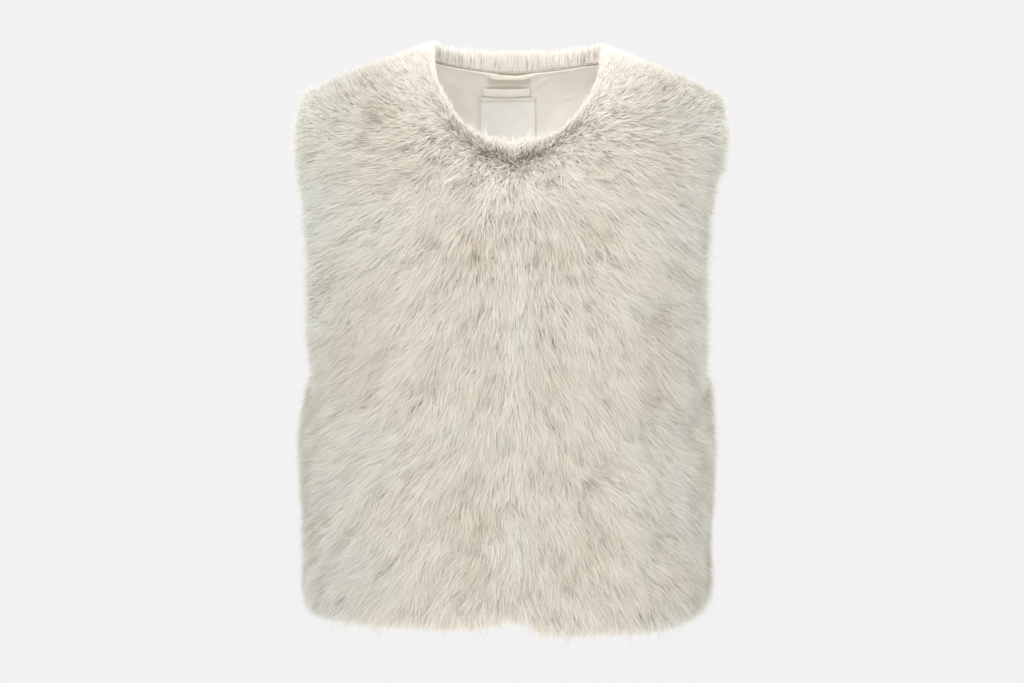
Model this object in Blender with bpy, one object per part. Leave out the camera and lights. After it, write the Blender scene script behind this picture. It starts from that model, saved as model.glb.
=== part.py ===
"""A short sleeveless faux fur vest in its worn, hollow form, with no wearer in it.

Metres, +Z up. The front faces -Y, the wearer's left is at +X. The origin is midway between the two high
shoulder points, at the level of the cloth, where the vest hangs on its wearer's shoulders.

Every fur panel is a wall: its inner face is the knitted backing, and its outer face is as far out as the
tips of the pile reach. Places on the garment are given by two coordinates: across, from 0 at the centre line
to 1 at the wearer's left side and -1 at the right, and down, the distance from the shoulder line.
"""

from collections import namedtuple

import bmesh
import bpy
import numpy as np

SEAM_GAP = 0.0003
PLY_GAP = 0.0003
LINING_THICK = 0.0015

# The body of the garment as rings at several heights, measured to the backing. Above the underarm the two
# side columns give the ring that the front and back would close to if they had no armholes.
Ring = namedtuple("Ring", "z right left front back")
RINGS = (
    Ring(z=-0.550, right=0.190, left=0.180, front=0.121, back=0.113),
    Ring(z=-0.500, right=0.192, left=0.180, front=0.122, back=0.112),
    Ring(z=-0.455, right=0.190, left=0.179, front=0.122, back=0.110),
    Ring(z=-0.405, right=0.194, left=0.181, front=0.123, back=0.108),
    Ring(z=-0.355, right=0.191, left=0.177, front=0.125, back=0.107),
    Ring(z=-0.318, right=0.181, left=0.172, front=0.127, back=0.108),
    Ring(z=-0.260, right=0.197, left=0.183, front=0.129, back=0.111),
    Ring(z=-0.200, right=0.201, left=0.187, front=0.127, back=0.114),
    Ring(z=-0.130, right=0.205, left=0.193, front=0.116, back=0.116),
    Ring(z=-0.080, right=0.213, left=0.208, front=0.103, back=0.115),
    Ring(z=0.000, right=0.214, left=0.216, front=0.088, back=0.112),
)
RING_BLEND = 0.015
RING_POWER = 2.3

# The shoulders: the line where front and back meet, and how far below it the cloth has rolled over.
SHOULDER_SLOPE_RIGHT = 0.335
SHOULDER_SLOPE_LEFT = 0.365
SHOULDER_START = 0.080
SHOULDER_SOFTEN = 0.012
SHOULDER_ROLL = 0.120
SHOULDER_TIP = 0.193

NECK_RIGHT = 0.077
NECK_LEFT = 0.085
NECK_FRONT_DROP = 0.092
NECK_FRONT_POWER = 1.75
NECK_BACK_DROP = 0.011

UNDERARM_Z = -0.318
ARMHOLE_STRAIGHT = 0.45
ARMHOLE_POWER = 2.4

# The hem of the backing, by the angle from the centre line. The centre front corners are cut up a little.
Hem = namedtuple("Hem", "across front back")
HEM = (
    Hem(across=-1.00, front=-0.532, back=-0.532),
    Hem(across=-0.50, front=-0.532, back=-0.534),
    Hem(across=-0.12, front=-0.531, back=-0.535),
    Hem(across=0.00, front=-0.522, back=-0.535),
    Hem(across=0.12, front=-0.538, back=-0.535),
    Hem(across=0.50, front=-0.540, back=-0.534),
    Hem(across=0.80, front=-0.532, back=-0.529),
    Hem(across=1.00, front=-0.523, back=-0.523),
)

# The pile: how far it stands off the backing, and how far it hangs past a free edge.
PILE_BODY = 0.0235
PILE_SHOULDER = 0.0145
PILE_FULL_BELOW = 0.150
NECK_OVERHANG = 0.012
ARMHOLE_OVERHANG = 0.019
HEM_OVERHANG = 0.018
Lip = namedtuple("Lip", "past_edge off_backing")
LIP = (
    Lip(past_edge=0.55, off_backing=0.12),
    Lip(past_edge=1.00, off_backing=0.48),
    Lip(past_edge=0.72, off_backing=0.94),
)

# Soft troughs that run through backing and pile. Girth is the distance from the centre line along the cloth,
# lean is the angle from upright, and the trough falls off over its length and width.
QUARTER_GIRTH = 0.250
Fold = namedtuple("Fold", "face girth z length width lean depth")
FOLDS = (
    Fold(face="front", girth=0.175, z=-0.335, length=0.065, width=0.020, lean=62, depth=0.006),
    Fold(face="front", girth=-0.185, z=-0.330, length=0.050, width=0.018, lean=-64, depth=0.005),
    Fold(face="front", girth=0.185, z=-0.485, length=0.075, width=0.022, lean=14, depth=0.005),
    Fold(face="front", girth=-0.170, z=-0.455, length=0.080, width=0.022, lean=-12, depth=0.004),
    Fold(face="front", girth=0.085, z=-0.500, length=0.090, width=0.020, lean=5, depth=0.003),
    Fold(face="back", girth=0.110, z=-0.450, length=0.120, width=0.024, lean=6, depth=0.004),
    Fold(face="back", girth=-0.130, z=-0.430, length=0.110, width=0.024, lean=-8, depth=0.004),
    Fold(face="back", girth=0.010, z=-0.400, length=0.140, width=0.026, lean=2, depth=0.003),
)

# Places where the pile parts and sinks, in the outer face only.
Parting = namedtuple("Parting", "face girth z reach depth")
PARTINGS = (
    Parting(face="front", girth=-0.066, z=-0.112, reach=0.020, depth=0.0050),
    Parting(face="front", girth=0.068, z=-0.100, reach=0.018, depth=0.0045),
    Parting(face="front", girth=-0.068, z=-0.302, reach=0.022, depth=0.0050),
    Parting(face="front", girth=0.056, z=-0.396, reach=0.022, depth=0.0050),
    Parting(face="front", girth=0.112, z=-0.247, reach=0.026, depth=0.0050),
    Parting(face="front", girth=0.115, z=-0.340, reach=0.024, depth=0.0045),
    Parting(face="front", girth=0.122, z=-0.458, reach=0.024, depth=0.0060),
    Parting(face="front", girth=-0.150, z=-0.220, reach=0.026, depth=0.0040),
    Parting(face="back", girth=0.070, z=-0.160, reach=0.024, depth=0.0045),
    Parting(face="back", girth=-0.085, z=-0.250, reach=0.026, depth=0.0050),
    Parting(face="back", girth=0.120, z=-0.350, reach=0.024, depth=0.0050),
    Parting(face="back", girth=-0.030, z=-0.440, reach=0.024, depth=0.0045),
)

# Waves of the pile where locks lie over one another, in turns beside and along the way the fur falls.
LOCK_WIDTH = 0.062
LOCK_LENGTH = 0.105
LOCK_TWIST = 0.35
LOCK_LEAN = 0.55
Wave = namedtuple("Wave", "beside along phase height")
WAVES = (
    Wave(beside=1.0, along=1.0, phase=0.2, height=0.0014),
    Wave(beside=1.0, along=-1.0, phase=3.0, height=0.0014),
    Wave(beside=1.7, along=-1.0, phase=2.1, height=0.0013),
)

# Divisions of the panels, and how finely their edges are laid out before they are divided.
EDGE_POINTS = 400
ROWS_TO_UNDERARM = 11
ROWS_TO_FRONT_NECK = 20
ROWS = 28
HALF_COLUMNS = 15
BACK_NECK_COLUMNS = 14
LINING_FIRST_ROW = 1
SETTLING_PASSES = 12
LINING_INSET = 0.06

LOOP_CENTRE_X = -0.0067
LOOP_LENGTH = 0.050
LOOP_TOP_Z = -0.0270
LOOP_WIDTH = 0.0078
LOOP_THICK = 0.0012
LOOP_STAND_OFF = 0.0040
LOOP_FULLNESS = 0.7
LOOP_SAG = 0.0012
LOOP_STEPS = 12

LABEL_CENTRE_X = -0.0052
LABEL_WIDTH = 0.057
LABEL_TOP_Z = -0.0362
LABEL_HEIGHT = 0.044
LABEL_THICK = 0.0010
LABEL_STEPS = 8

FUR_COLOUR = (0.672, 0.617, 0.540)
LINING_COLOUR = (0.708, 0.644, 0.565)
LABEL_COLOUR = (0.760, 0.765, 0.730)


def column(table, name):
    """One named column of a table, as an array."""
    return np.array([getattr(row, name) for row in table])


def ring_value(z, name):
    """A column of the ring table at the height z, eased between its rows."""
    heights = column(RINGS, "z")
    values = column(RINGS, name)
    steps = (-RING_BLEND, 0.0, RING_BLEND)
    return sum(np.interp(z + step, heights, values) for step in steps) / len(steps)


def half_width(x, z):
    """The ring's half width on the side of the garment that x is on."""
    return np.where(x < 0, ring_value(z, "right"), ring_value(z, "left"))


def shoulder_line(x):
    """The height of the line where front and back meet over the shoulder."""
    past = np.abs(x) - SHOULDER_START
    slope = np.where(x < 0, SHOULDER_SLOPE_RIGHT, SHOULDER_SLOPE_LEFT)
    return -slope * (past + np.sqrt(past**2 + SHOULDER_SOFTEN**2)) / 2


def ring_angle(across):
    """The angle round the ring, spaced so that equal steps of across are about equal steps of cloth."""
    spread = RING_POWER / 2
    near = np.minimum(np.abs(across), 1) ** spread
    far = np.maximum(1 - np.abs(across), 0) ** spread
    return np.pi / 2 * near / (near + far)


def cloth(face, across, down):
    """Points of the backing's inner face, without its folds."""
    rounding = 2 / RING_POWER
    angle = ring_angle(across)
    share = np.sin(angle) ** rounding
    rolled = np.clip(down / SHOULDER_ROLL, 0, 1) * np.pi / 2
    drop = np.maximum(down - SHOULDER_ROLL, 0) + SHOULDER_ROLL * (1 - np.cos(rolled) ** rounding)
    x = np.sign(across) * share * SHOULDER_TIP
    for _ in range(SETTLING_PASSES):
        z = shoulder_line(x) - drop
        x = np.sign(across) * share * half_width(across, z)
    depth = ring_value(z, face) * np.cos(angle) ** rounding * np.sin(rolled) ** rounding
    y = depth * (1 if face == "back" else -1)
    return np.stack([x, y, z], axis=-1)


def outward(face, points):
    """Unit normals of the garment's surface, from the slope of the function that is zero on it."""

    def level(p):
        x, y, z = p[..., 0], p[..., 1], p[..., 2]
        side = 1 - (np.abs(x) / half_width(x, z)) ** RING_POWER
        rolled = np.maximum((z - shoulder_line(x)) / SHOULDER_ROLL + 1, 0)
        return (np.abs(y) / ring_value(z, face)) ** RING_POWER - side * (1 - rolled**RING_POWER)

    step = 1e-5
    axes = np.eye(3) * step
    slope = np.stack([level(points + axis) - level(points - axis) for axis in axes], axis=-1)
    return slope / np.linalg.norm(slope, axis=-1, keepdims=True)


def trough(fold, girth, z):
    """How deep one fold is at each place."""
    lean = np.radians(fold.lean)
    right, up = girth - fold.girth, z - fold.z
    along = up * np.cos(lean) + right * np.sin(lean)
    beside = right * np.cos(lean) - up * np.sin(lean)
    return fold.depth * np.exp(-((along / fold.length) ** 2) - (beside / fold.width) ** 2)


def backing(face, across, down):
    """The backing's inner face with its folds, and the normals there."""
    points = cloth(face, across, down)
    normals = outward(face, points)
    girth = across * QUARTER_GIRTH
    depth = sum(trough(fold, girth, points[..., 2]) for fold in FOLDS if fold.face == face)
    return points - normals * depth[..., None], normals


def pile(face, across, down, z):
    """How far the tips of the pile stand off the backing."""
    fullness = np.clip(down / PILE_FULL_BELOW, 0, 1)
    height = PILE_SHOULDER + (PILE_BODY - PILE_SHOULDER) * fullness**2 * (3 - 2 * fullness)
    girth = across * QUARTER_GIRTH
    beside = (girth + z * LOCK_TWIST * np.sign(girth)) / LOCK_WIDTH
    along = (z + np.abs(girth) * LOCK_LEAN) / LOCK_LENGTH
    for wave in WAVES:
        turns = wave.beside * beside + wave.along * along
        height = height + wave.height * fullness * np.sin(2 * np.pi * turns + wave.phase)
    for parting in PARTINGS:
        if parting.face == face:
            apart = ((girth - parting.girth) ** 2 + (z - parting.z) ** 2) / parting.reach**2
            height = height - parting.depth * np.exp(-apart)
    return height


def down_at(across, x, z):
    """The distance below the shoulder line of a place at the height z."""
    drop = shoulder_line(x) - z
    rolled = np.arccos(np.clip(1 - drop / SHOULDER_ROLL, 0, 1) ** (RING_POWER / 2)) * 2 / np.pi
    return np.where(drop < SHOULDER_ROLL, rolled * SHOULDER_ROLL, drop)


def across_at(x, z):
    """The across coordinate of a place x from the centre line, at the height z."""
    angle = np.arcsin(np.clip(np.abs(x) / half_width(x, z), 0, 1) ** (RING_POWER / 2))
    share = (angle * 2 / np.pi) / np.maximum(1 - angle * 2 / np.pi, 1e-9)
    ratio = share ** (2 / RING_POWER)
    return np.sign(x) * ratio / (1 + ratio)


def place(x, z):
    """Both garment coordinates of a place given by x and z."""
    across = across_at(x, z)
    return np.stack([across, down_at(across, x, z)], axis=-1)


def even(face, path, count):
    """Count steps of equal length along a path of garment coordinates."""
    points = cloth(face, path[:, 0], path[:, 1])
    lengths = np.linalg.norm(np.diff(points, axis=0), axis=1)
    run = np.concatenate([[0], np.cumsum(lengths)])
    wanted = np.linspace(0, run[-1], count + 1)
    return np.stack([np.interp(wanted, run, path[:, k]) for k in range(2)], axis=-1)


def fine(start, end):
    """Closely spaced values for laying out a path."""
    return np.linspace(start, end, EDGE_POINTS)


def hem_path(face, start, end):
    """The hem from one across value to another."""
    across = fine(start, end)
    z = np.interp(across, column(HEM, "across"), column(HEM, face))
    x = cloth(face, across, shoulder_line(across * SHOULDER_TIP) - z)[:, 0]
    return np.stack([across, shoulder_line(x) - z], axis=-1)


def hem_end(face, side):
    """The foot of a side seam."""
    return hem_path(face, 0, side)[-1]


def shoulder_tip(side):
    """The end of the shoulder seam at the armhole."""
    x = side * SHOULDER_TIP
    return place(x, shoulder_line(x))


def neck_half(side):
    """The half width of the neck at the shoulder seam."""
    return NECK_LEFT if side > 0 else NECK_RIGHT


def outer_edge(face, side):
    """The side seam from hem to underarm, then the armhole up to the shoulder seam."""
    underarm_x = side * ring_value(UNDERARM_Z, "left" if side > 0 else "right")
    underarm_down = shoulder_line(underarm_x) - UNDERARM_Z
    foot = hem_end(face, side)
    seam = np.stack([fine(side, side), fine(foot[1], underarm_down)], axis=-1)
    height = fine(1, 0)
    bend = np.clip((height - ARMHOLE_STRAIGHT) / (1 - ARMHOLE_STRAIGHT), 0, 1)
    opening = (1 - bend**ARMHOLE_POWER) ** (1 / ARMHOLE_POWER)
    tip = shoulder_tip(side)[0]
    armhole = np.stack([side + (tip - side) * opening, height * underarm_down], axis=-1)
    lower = even(face, seam, ROWS_TO_UNDERARM)
    upper = even(face, armhole, ROWS - ROWS_TO_UNDERARM)
    return np.concatenate([lower, upper[1:]])


def front_neckline(side):
    """From the centre front up to the high shoulder point."""
    turn = fine(0, np.pi / 2)
    rounding = 2 / NECK_FRONT_POWER
    x = side * neck_half(side) * np.sin(turn) ** rounding
    z = shoulder_line(x) - (NECK_FRONT_DROP * np.abs(np.cos(turn)) ** rounding)
    return place(x, z)


def back_neckline():
    """From the wearer's right high shoulder point round to the left one."""
    turn = fine(-np.pi / 2, np.pi / 2)
    x = np.where(turn < 0, NECK_RIGHT, NECK_LEFT) * np.sin(turn)
    return place(x, shoulder_line(x) - NECK_BACK_DROP * np.cos(turn) ** 2)


def shoulder_seam(side):
    """From the high shoulder point to the shoulder tip."""
    x = side * fine(neck_half(side), SHOULDER_TIP)
    return place(x, shoulder_line(x))


def filled(bottom, top, first, last):
    """A grid of garment coordinates between four edges; each inner point is blended from all four."""
    v, u = np.meshgrid(np.linspace(0, 1, len(first)), np.linspace(0, 1, len(bottom)), indexing="ij")
    v, u = v[..., None], u[..., None]
    grid = (1 - v) * bottom[None] + v * top[None] + (1 - u) * first[:, None] + u * last[:, None]
    low = (1 - u) * bottom[0] + u * bottom[-1]
    high = (1 - u) * top[0] + u * top[-1]
    return grid - (1 - v) * low - v * high


def front_grid(side):
    """Garment coordinates of one front, from its hem up and from the centre front outwards."""
    hem = even("front", hem_path("front", 0, side), HALF_COLUMNS)
    neck = even("front", front_neckline(side), ROWS - ROWS_TO_FRONT_NECK)
    opening = np.stack([fine(0, 0), fine(hem[0, 1], neck[0, 1])], axis=-1)
    first = np.concatenate([even("front", opening, ROWS_TO_FRONT_NECK), neck[1:]])
    shoulder = even("front", shoulder_seam(side), HALF_COLUMNS)
    return filled(hem, shoulder, first, outer_edge("front", side))


def back_grid():
    """Garment coordinates of the back, from its hem up and from the wearer's right to the left."""
    hem = even("back", hem_path("back", -1, 1), 2 * HALF_COLUMNS)
    shoulder_columns = HALF_COLUMNS - BACK_NECK_COLUMNS // 2
    right = even("back", shoulder_seam(-1)[::-1], shoulder_columns)
    neck = even("back", back_neckline(), BACK_NECK_COLUMNS)
    left = even("back", shoulder_seam(1), shoulder_columns)
    top = np.concatenate([right, neck[1:], left[1:]])
    return filled(hem, top, outer_edge("back", -1), outer_edge("back", 1))


def past_edge(edge, beside, normals, overhang):
    """For each point of an edge, the step past the edge that its pile takes, in the surface."""
    run = np.gradient(edge, axis=0)
    away = np.cross(run, normals)
    away /= np.linalg.norm(away, axis=-1, keepdims=True)
    away *= np.sign(np.sum(away * (edge - beside), axis=-1, keepdims=True))
    return away * overhang[:, None]


def overhangs(points, normals, hem, top, first, last):
    """The step past the edge for every point of a panel, zero inside it and along its seams."""
    reach = np.zeros_like(points)
    reach[0] += past_edge(points[0], points[1], normals[0], hem)
    reach[-1] += past_edge(points[-1], points[-2], normals[-1], top)
    reach[:, 0] += past_edge(points[:, 0], points[:, 1], normals[:, 0], first)
    reach[:, -1] += past_edge(points[:, -1], points[:, -2], normals[:, -1], last)
    return reach


def rim(grid):
    """The points round the outside of a grid, in order."""
    return np.concatenate([grid[0, :-1], grid[:-1, -1], grid[-1, :0:-1], grid[:0:-1, 0]])


def closed_wall(name, layers, colour, roughness):
    """One solid from a first grid, any loops between, and a last grid; loops run round the rim."""
    inner, between, outer = layers[0], layers[1:-1], layers[-1]
    rows, columns = inner.shape[:2]
    shape = bmesh.new()
    sheets = [[[shape.verts.new(p) for p in row] for row in sheet] for sheet in (inner, outer)]
    for sheet in sheets:
        for i in range(rows - 1):
            for j in range(columns - 1):
                shape.faces.new((sheet[i][j], sheet[i][j + 1], sheet[i + 1][j + 1]))
                shape.faces.new((sheet[i][j], sheet[i + 1][j + 1], sheet[i + 1][j]))
    numbers = rim(np.arange(rows * columns).reshape(rows, columns))
    rims = [[sheet[k // columns][k % columns] for k in numbers] for sheet in sheets]
    loops = [rims[0]] + [[shape.verts.new(p) for p in loop] for loop in between] + [rims[1]]
    for low, high in zip(loops, loops[1:]):
        for k in range(len(low)):
            after = (k + 1) % len(low)
            shape.faces.new((low[k], low[after], high[after], high[k]))
    bmesh.ops.recalc_face_normals(shape, faces=shape.faces)
    mesh = bpy.data.meshes.new(name)
    shape.to_mesh(mesh)
    shape.free()
    mesh.shade_smooth()
    made = bpy.data.objects.new(name, mesh)
    bpy.context.scene.collection.objects.link(made)
    made.data.materials.append(plain_material(name, colour, roughness))
    return made


def plain_material(name, colour, roughness):
    """A matt cloth finish."""
    material = bpy.data.materials.new(name)
    material.use_nodes = True
    shader = material.node_tree.nodes["Principled BSDF"]
    shader.inputs["Base Color"].default_value = (*colour, 1)
    shader.inputs["Roughness"].default_value = roughness
    shader.inputs["Metallic"].default_value = 0
    return material


def kept_apart(points, face, side):
    """Points pressed back to their own side of the seams, which all lie in the planes x = 0 and y = 0."""
    half = SEAM_GAP / 2
    points = points.copy()
    if face == "front":
        points[..., 1] = np.minimum(points[..., 1], -half)
        points[..., 0] = np.maximum(points[..., 0] * side, half) * side
    else:
        points[..., 1] = np.maximum(points[..., 1], half)
    return points


def fur_panel(name, face, side, grid, edges):
    """A panel of fur as a wall from its backing out to the tips of its pile, lipped at its free edges."""
    across, down = grid[..., 0], grid[..., 1]
    points, normals = backing(face, across, down)
    height = pile(face, across, down, points[..., 2])
    reach = overhangs(points, normals, *edges)
    uneven = (height / PILE_BODY)[..., None]
    free = np.linalg.norm(reach, axis=-1, keepdims=True) > 0
    lift = normals * height[..., None]
    layers = [points]
    for lip in LIP[:-1]:
        layers.append(rim(points + reach * uneven * lip.past_edge + lift * lip.off_backing))
    last = LIP[-1]
    layers.append(points + reach * uneven * last.past_edge + lift * np.where(free, last.off_backing, 1))
    layers = [kept_apart(layer, face, side) for layer in layers]
    return closed_wall(name, layers, FUR_COLOUR, 0.95)


def armhole_overhang():
    """None along the side seam, then the armhole's."""
    rows = np.arange(ROWS + 1)
    return np.where(rows < ROWS_TO_UNDERARM, 0, ARMHOLE_OVERHANG)


def front_edges():
    """The overhang at the hem, shoulder seam, centre front with neckline, and side with armhole."""
    rows = np.arange(ROWS + 1)
    flat = np.zeros(HALF_COLUMNS + 1)
    neck = np.where(rows < ROWS_TO_FRONT_NECK, 0, NECK_OVERHANG)
    return flat + HEM_OVERHANG, flat, neck, armhole_overhang()


def back_edges():
    """The overhang at the hem, shoulder seams with neckline, right side and left side."""
    columns = np.arange(-HALF_COLUMNS, HALF_COLUMNS + 1)
    neck = np.where(np.abs(columns) <= BACK_NECK_COLUMNS // 2, NECK_OVERHANG, 0)
    return np.full(len(columns), HEM_OVERHANG), neck, armhole_overhang(), armhole_overhang()


def lining_grid(points, normals):
    """The lining's outer face: the back's points moved inwards, from above the hem, short of the seams."""
    points, normals = points[LINING_FIRST_ROW:], normals[LINING_FIRST_ROW:]
    points = points - normals * PLY_GAP
    for edge, inner in ((0, 1), (-1, -2)):
        points[:, edge] += (points[:, inner] - points[:, edge]) * LINING_INSET
    return points, normals


def lies_on(sheet, x, z):
    """Where a place given by x and z lies on a grid of points, as row and column numbers."""
    rows, columns = sheet.shape[:2]
    row, across = rows / 2, columns / 2
    for _ in range(SETTLING_PASSES):
        here = spot(sheet, row, across)
        row += (z - here[2]) / (spot(sheet, row + 0.5, across)[2] - spot(sheet, row - 0.5, across)[2])
        row = min(max(row, 0.5), rows - 1.5)
        across += (x - here[0]) / (spot(sheet, row, across + 0.5)[0] - spot(sheet, row, across - 0.5)[0])
        across = min(max(across, 0.5), columns - 1.5)
    return row, across


def spot(sheet, row, across):
    """The point of a grid at row and column numbers that may lie between its own."""
    i = int(np.clip(np.floor(row), 0, sheet.shape[0] - 2))
    j = int(np.clip(np.floor(across), 0, sheet.shape[1] - 2))
    v, u = row - i, across - j
    low = (1 - u) * sheet[i, j] + u * sheet[i, j + 1]
    high = (1 - u) * sheet[i + 1, j] + u * sheet[i + 1, j + 1]
    return (1 - v) * low + v * high


def laid_patch(lining, normals, xs, zs, lift, thick):
    """Both faces of a small piece on the lining's inner face, at places x and z, moved out level."""
    near = np.zeros((len(zs), len(xs), 3))
    far = np.zeros_like(near)
    for i, z in enumerate(zs):
        for j, x in enumerate(xs):
            row, across = lies_on(lining, x, z)
            normal = spot(normals, row, across)
            level = np.array([0, np.linalg.norm(normal) / normal[1], 0])
            near[i, j] = spot(lining, row, across) - level * (LINING_THICK + lift[j])
            far[i, j] = near[i, j] - level * thick
    return near, far


def back_lining(grid):
    """The lining of the back; returns its outer points and normals for what is sewn to it."""
    points, normals = backing("back", grid[..., 0], grid[..., 1])
    points, normals = lining_grid(kept_apart(points, "back", 0), normals)
    layers = [points, points - normals * LINING_THICK]
    closed_wall("back_lining", layers, LINING_COLOUR, 0.6)
    return points, normals


def hanger_loop(lining, normals):
    """A narrow band, sewn down at both ends and standing off between them."""
    share = np.linspace(0, 1, LOOP_STEPS + 1)
    xs = LOOP_CENTRE_X + LOOP_LENGTH * (share - 0.5)
    zs = [LOOP_TOP_Z - LOOP_WIDTH, LOOP_TOP_Z - LOOP_WIDTH / 2, LOOP_TOP_Z]
    lift = PLY_GAP + LOOP_STAND_OFF * np.sin(np.pi * share) ** LOOP_FULLNESS
    near, far = laid_patch(lining, normals, xs, zs, lift, LOOP_THICK)
    for face in (near, far):
        face[..., 2] -= LOOP_SAG * np.sin(np.pi * share)
    closed_wall("hanger_loop", [near, far], LINING_COLOUR, 0.6)


def neck_label(lining, normals):
    """A plain woven patch under the loop."""
    xs = LABEL_CENTRE_X + LABEL_WIDTH * (np.linspace(0, 1, LABEL_STEPS + 1) - 0.5)
    zs = LABEL_TOP_Z - LABEL_HEIGHT * (1 - np.linspace(0, 1, LABEL_STEPS + 1))
    lift = np.full(len(xs), 2 * PLY_GAP)
    near, far = laid_patch(lining, normals, xs, zs, lift, LABEL_THICK)
    closed_wall("neck_label", [near, far], LABEL_COLOUR, 0.5)


for old in list(bpy.data.objects):
    bpy.data.objects.remove(old)

fur_panel("front_right", "front", -1, front_grid(-1), front_edges())
fur_panel("front_left", "front", 1, front_grid(1), front_edges())
back = back_grid()
fur_panel("back", "back", 0, back, back_edges())
lining_points, lining_normals = back_lining(back)
hanger_loop(lining_points, lining_normals)
neck_label(lining_points, lining_normals)
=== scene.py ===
from collections import namedtuple

import bpy
import numpy as np
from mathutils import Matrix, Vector


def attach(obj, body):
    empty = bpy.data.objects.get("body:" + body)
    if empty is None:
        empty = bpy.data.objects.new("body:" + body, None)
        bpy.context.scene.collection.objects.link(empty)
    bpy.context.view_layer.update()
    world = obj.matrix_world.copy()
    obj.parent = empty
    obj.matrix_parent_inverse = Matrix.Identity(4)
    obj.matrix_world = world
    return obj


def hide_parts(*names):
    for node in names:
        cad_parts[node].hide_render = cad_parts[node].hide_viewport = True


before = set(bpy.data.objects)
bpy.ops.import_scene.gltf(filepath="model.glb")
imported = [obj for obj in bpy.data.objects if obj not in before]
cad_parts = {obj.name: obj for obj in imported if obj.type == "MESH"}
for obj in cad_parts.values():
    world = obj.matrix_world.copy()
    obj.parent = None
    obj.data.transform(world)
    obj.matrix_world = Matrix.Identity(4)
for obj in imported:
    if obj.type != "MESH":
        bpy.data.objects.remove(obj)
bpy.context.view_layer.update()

# The studio: a pale floor that runs off into an equally pale surround, as in a product picture on light
# grey. Large soft lights stand before, above and beside the vest, and one low behind it.
SURROUND_GREY = 0.888
FLOOR_Z = -0.640
FLOOR_SIZE = 14.0
CAMERA_AIM = Vector((-0.001, 0.0, -0.2795))
CAMERA_DISTANCE = 2.6
CAMERA_ELEVATION = np.radians(5)
CAMERA_LENS = 91.4
Light = namedtuple("Light", "name place width height watts")
LIGHTS = (
    Light(name="front_light", place=(-0.85, -2.35, 1.25), width=2.6, height=2.2, watts=50),
    Light(name="low_light", place=(0.2, -2.3, -0.5), width=2.2, height=0.8, watts=12),
    Light(name="top_light", place=(0.2, -0.3, 2.3), width=1.6, height=1.6, watts=16),
    Light(name="right_light", place=(2.3, -1.2, 0.2), width=1.2, height=1.8, watts=7),
    Light(name="back_light", place=(0.3, 2.4, 1.2), width=1.8, height=1.6, watts=24),
)

bpy.context.scene.view_settings.view_transform = "Standard"
surround = bpy.data.worlds.new("surround")
surround.use_nodes = True
surround.node_tree.nodes["Background"].inputs["Color"].default_value = (SURROUND_GREY,) * 3 + (1,)
bpy.context.scene.world = surround

bpy.ops.object.select_all(action="DESELECT")
bpy.ops.mesh.primitive_plane_add(size=FLOOR_SIZE, location=(0, 0, FLOOR_Z))
floor = bpy.context.object
floor.name = "floor"
floor_paint = bpy.data.materials.new("floor_paint")
floor_paint.use_nodes = True
floor_paint.node_tree.nodes.clear()
floor_glow = floor_paint.node_tree.nodes.new("ShaderNodeEmission")
floor_glow.inputs["Color"].default_value = (SURROUND_GREY,) * 3 + (1,)
floor_out = floor_paint.node_tree.nodes.new("ShaderNodeOutputMaterial")
floor_paint.node_tree.links.new(floor_glow.outputs["Emission"], floor_out.inputs["Surface"])
floor.data.materials.append(floor_paint)

for light in LIGHTS:
    bpy.ops.object.light_add(type="AREA", location=light.place)
    lamp = bpy.context.object
    lamp.name = light.name
    lamp.data.shape = "RECTANGLE"
    lamp.data.size = light.width
    lamp.data.size_y = light.height
    lamp.data.energy = light.watts
    lamp.rotation_euler = (CAMERA_AIM - Vector(light.place)).to_track_quat("-Z", "Y").to_euler()

camera_back = Vector((0, -np.cos(CAMERA_ELEVATION), np.sin(CAMERA_ELEVATION)))
bpy.ops.object.camera_add(location=CAMERA_AIM + camera_back * CAMERA_DISTANCE)
camera = bpy.context.object
camera.name = "camera"
camera.rotation_euler = (-camera_back).to_track_quat("-Z", "Y").to_euler()
camera.data.lens = CAMERA_LENS
camera.data.sensor_width = 36
bpy.context.scene.camera = camera

# The two fronts: panels of faux fur, each a knitted backing that carries the pile, with the lining cloth
# turned to its inner side. They are sewn to the back at the shoulders and sides, and meet edge to edge at
# the centre front. Their form is the garment's worn form, given by rings round the body.
BACKING_THICK = 0.0018
SEAM_GAP = 0.0003

Ring = namedtuple("Ring", "z right left front back")
RINGS = [Ring(*row) for row in (
    (-0.550, 0.190, 0.180, 0.121, 0.113),
    (-0.500, 0.192, 0.180, 0.122, 0.112),
    (-0.455, 0.190, 0.179, 0.122, 0.110),
    (-0.405, 0.194, 0.181, 0.123, 0.108),
    (-0.355, 0.191, 0.177, 0.125, 0.107),
    (-0.318, 0.181, 0.172, 0.127, 0.108),
    (-0.260, 0.197, 0.183, 0.129, 0.111),
    (-0.200, 0.201, 0.187, 0.127, 0.114),
    (-0.130, 0.205, 0.193, 0.116, 0.116),
    (-0.080, 0.213, 0.208, 0.103, 0.115),
    (0.000, 0.214, 0.216, 0.088, 0.112),
)]
RING_BLEND = 0.015
RING_POWER = 2.3
SHOULDER_SLOPE_RIGHT = 0.335
SHOULDER_SLOPE_LEFT = 0.365
SHOULDER_START = 0.080
SHOULDER_SOFTEN = 0.012
SHOULDER_ROLL = 0.120
SHOULDER_TIP = 0.193
NECK_HALF = {-1: 0.077, 1: 0.085}
NECK_FRONT_DROP = 0.092
NECK_FRONT_POWER = 1.75
UNDERARM_Z = -0.318
ARMHOLE_STRAIGHT = 0.45
ARMHOLE_POWER = 2.4
Hem = namedtuple("Hem", "across front back")
HEM = [Hem(*row) for row in (
    (-1.00, -0.532, -0.532),
    (-0.50, -0.532, -0.534),
    (-0.12, -0.531, -0.535),
    (0.00, -0.522, -0.535),
    (0.12, -0.538, -0.535),
    (0.50, -0.540, -0.534),
    (0.80, -0.532, -0.529),
    (1.00, -0.523, -0.523),
)]
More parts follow.
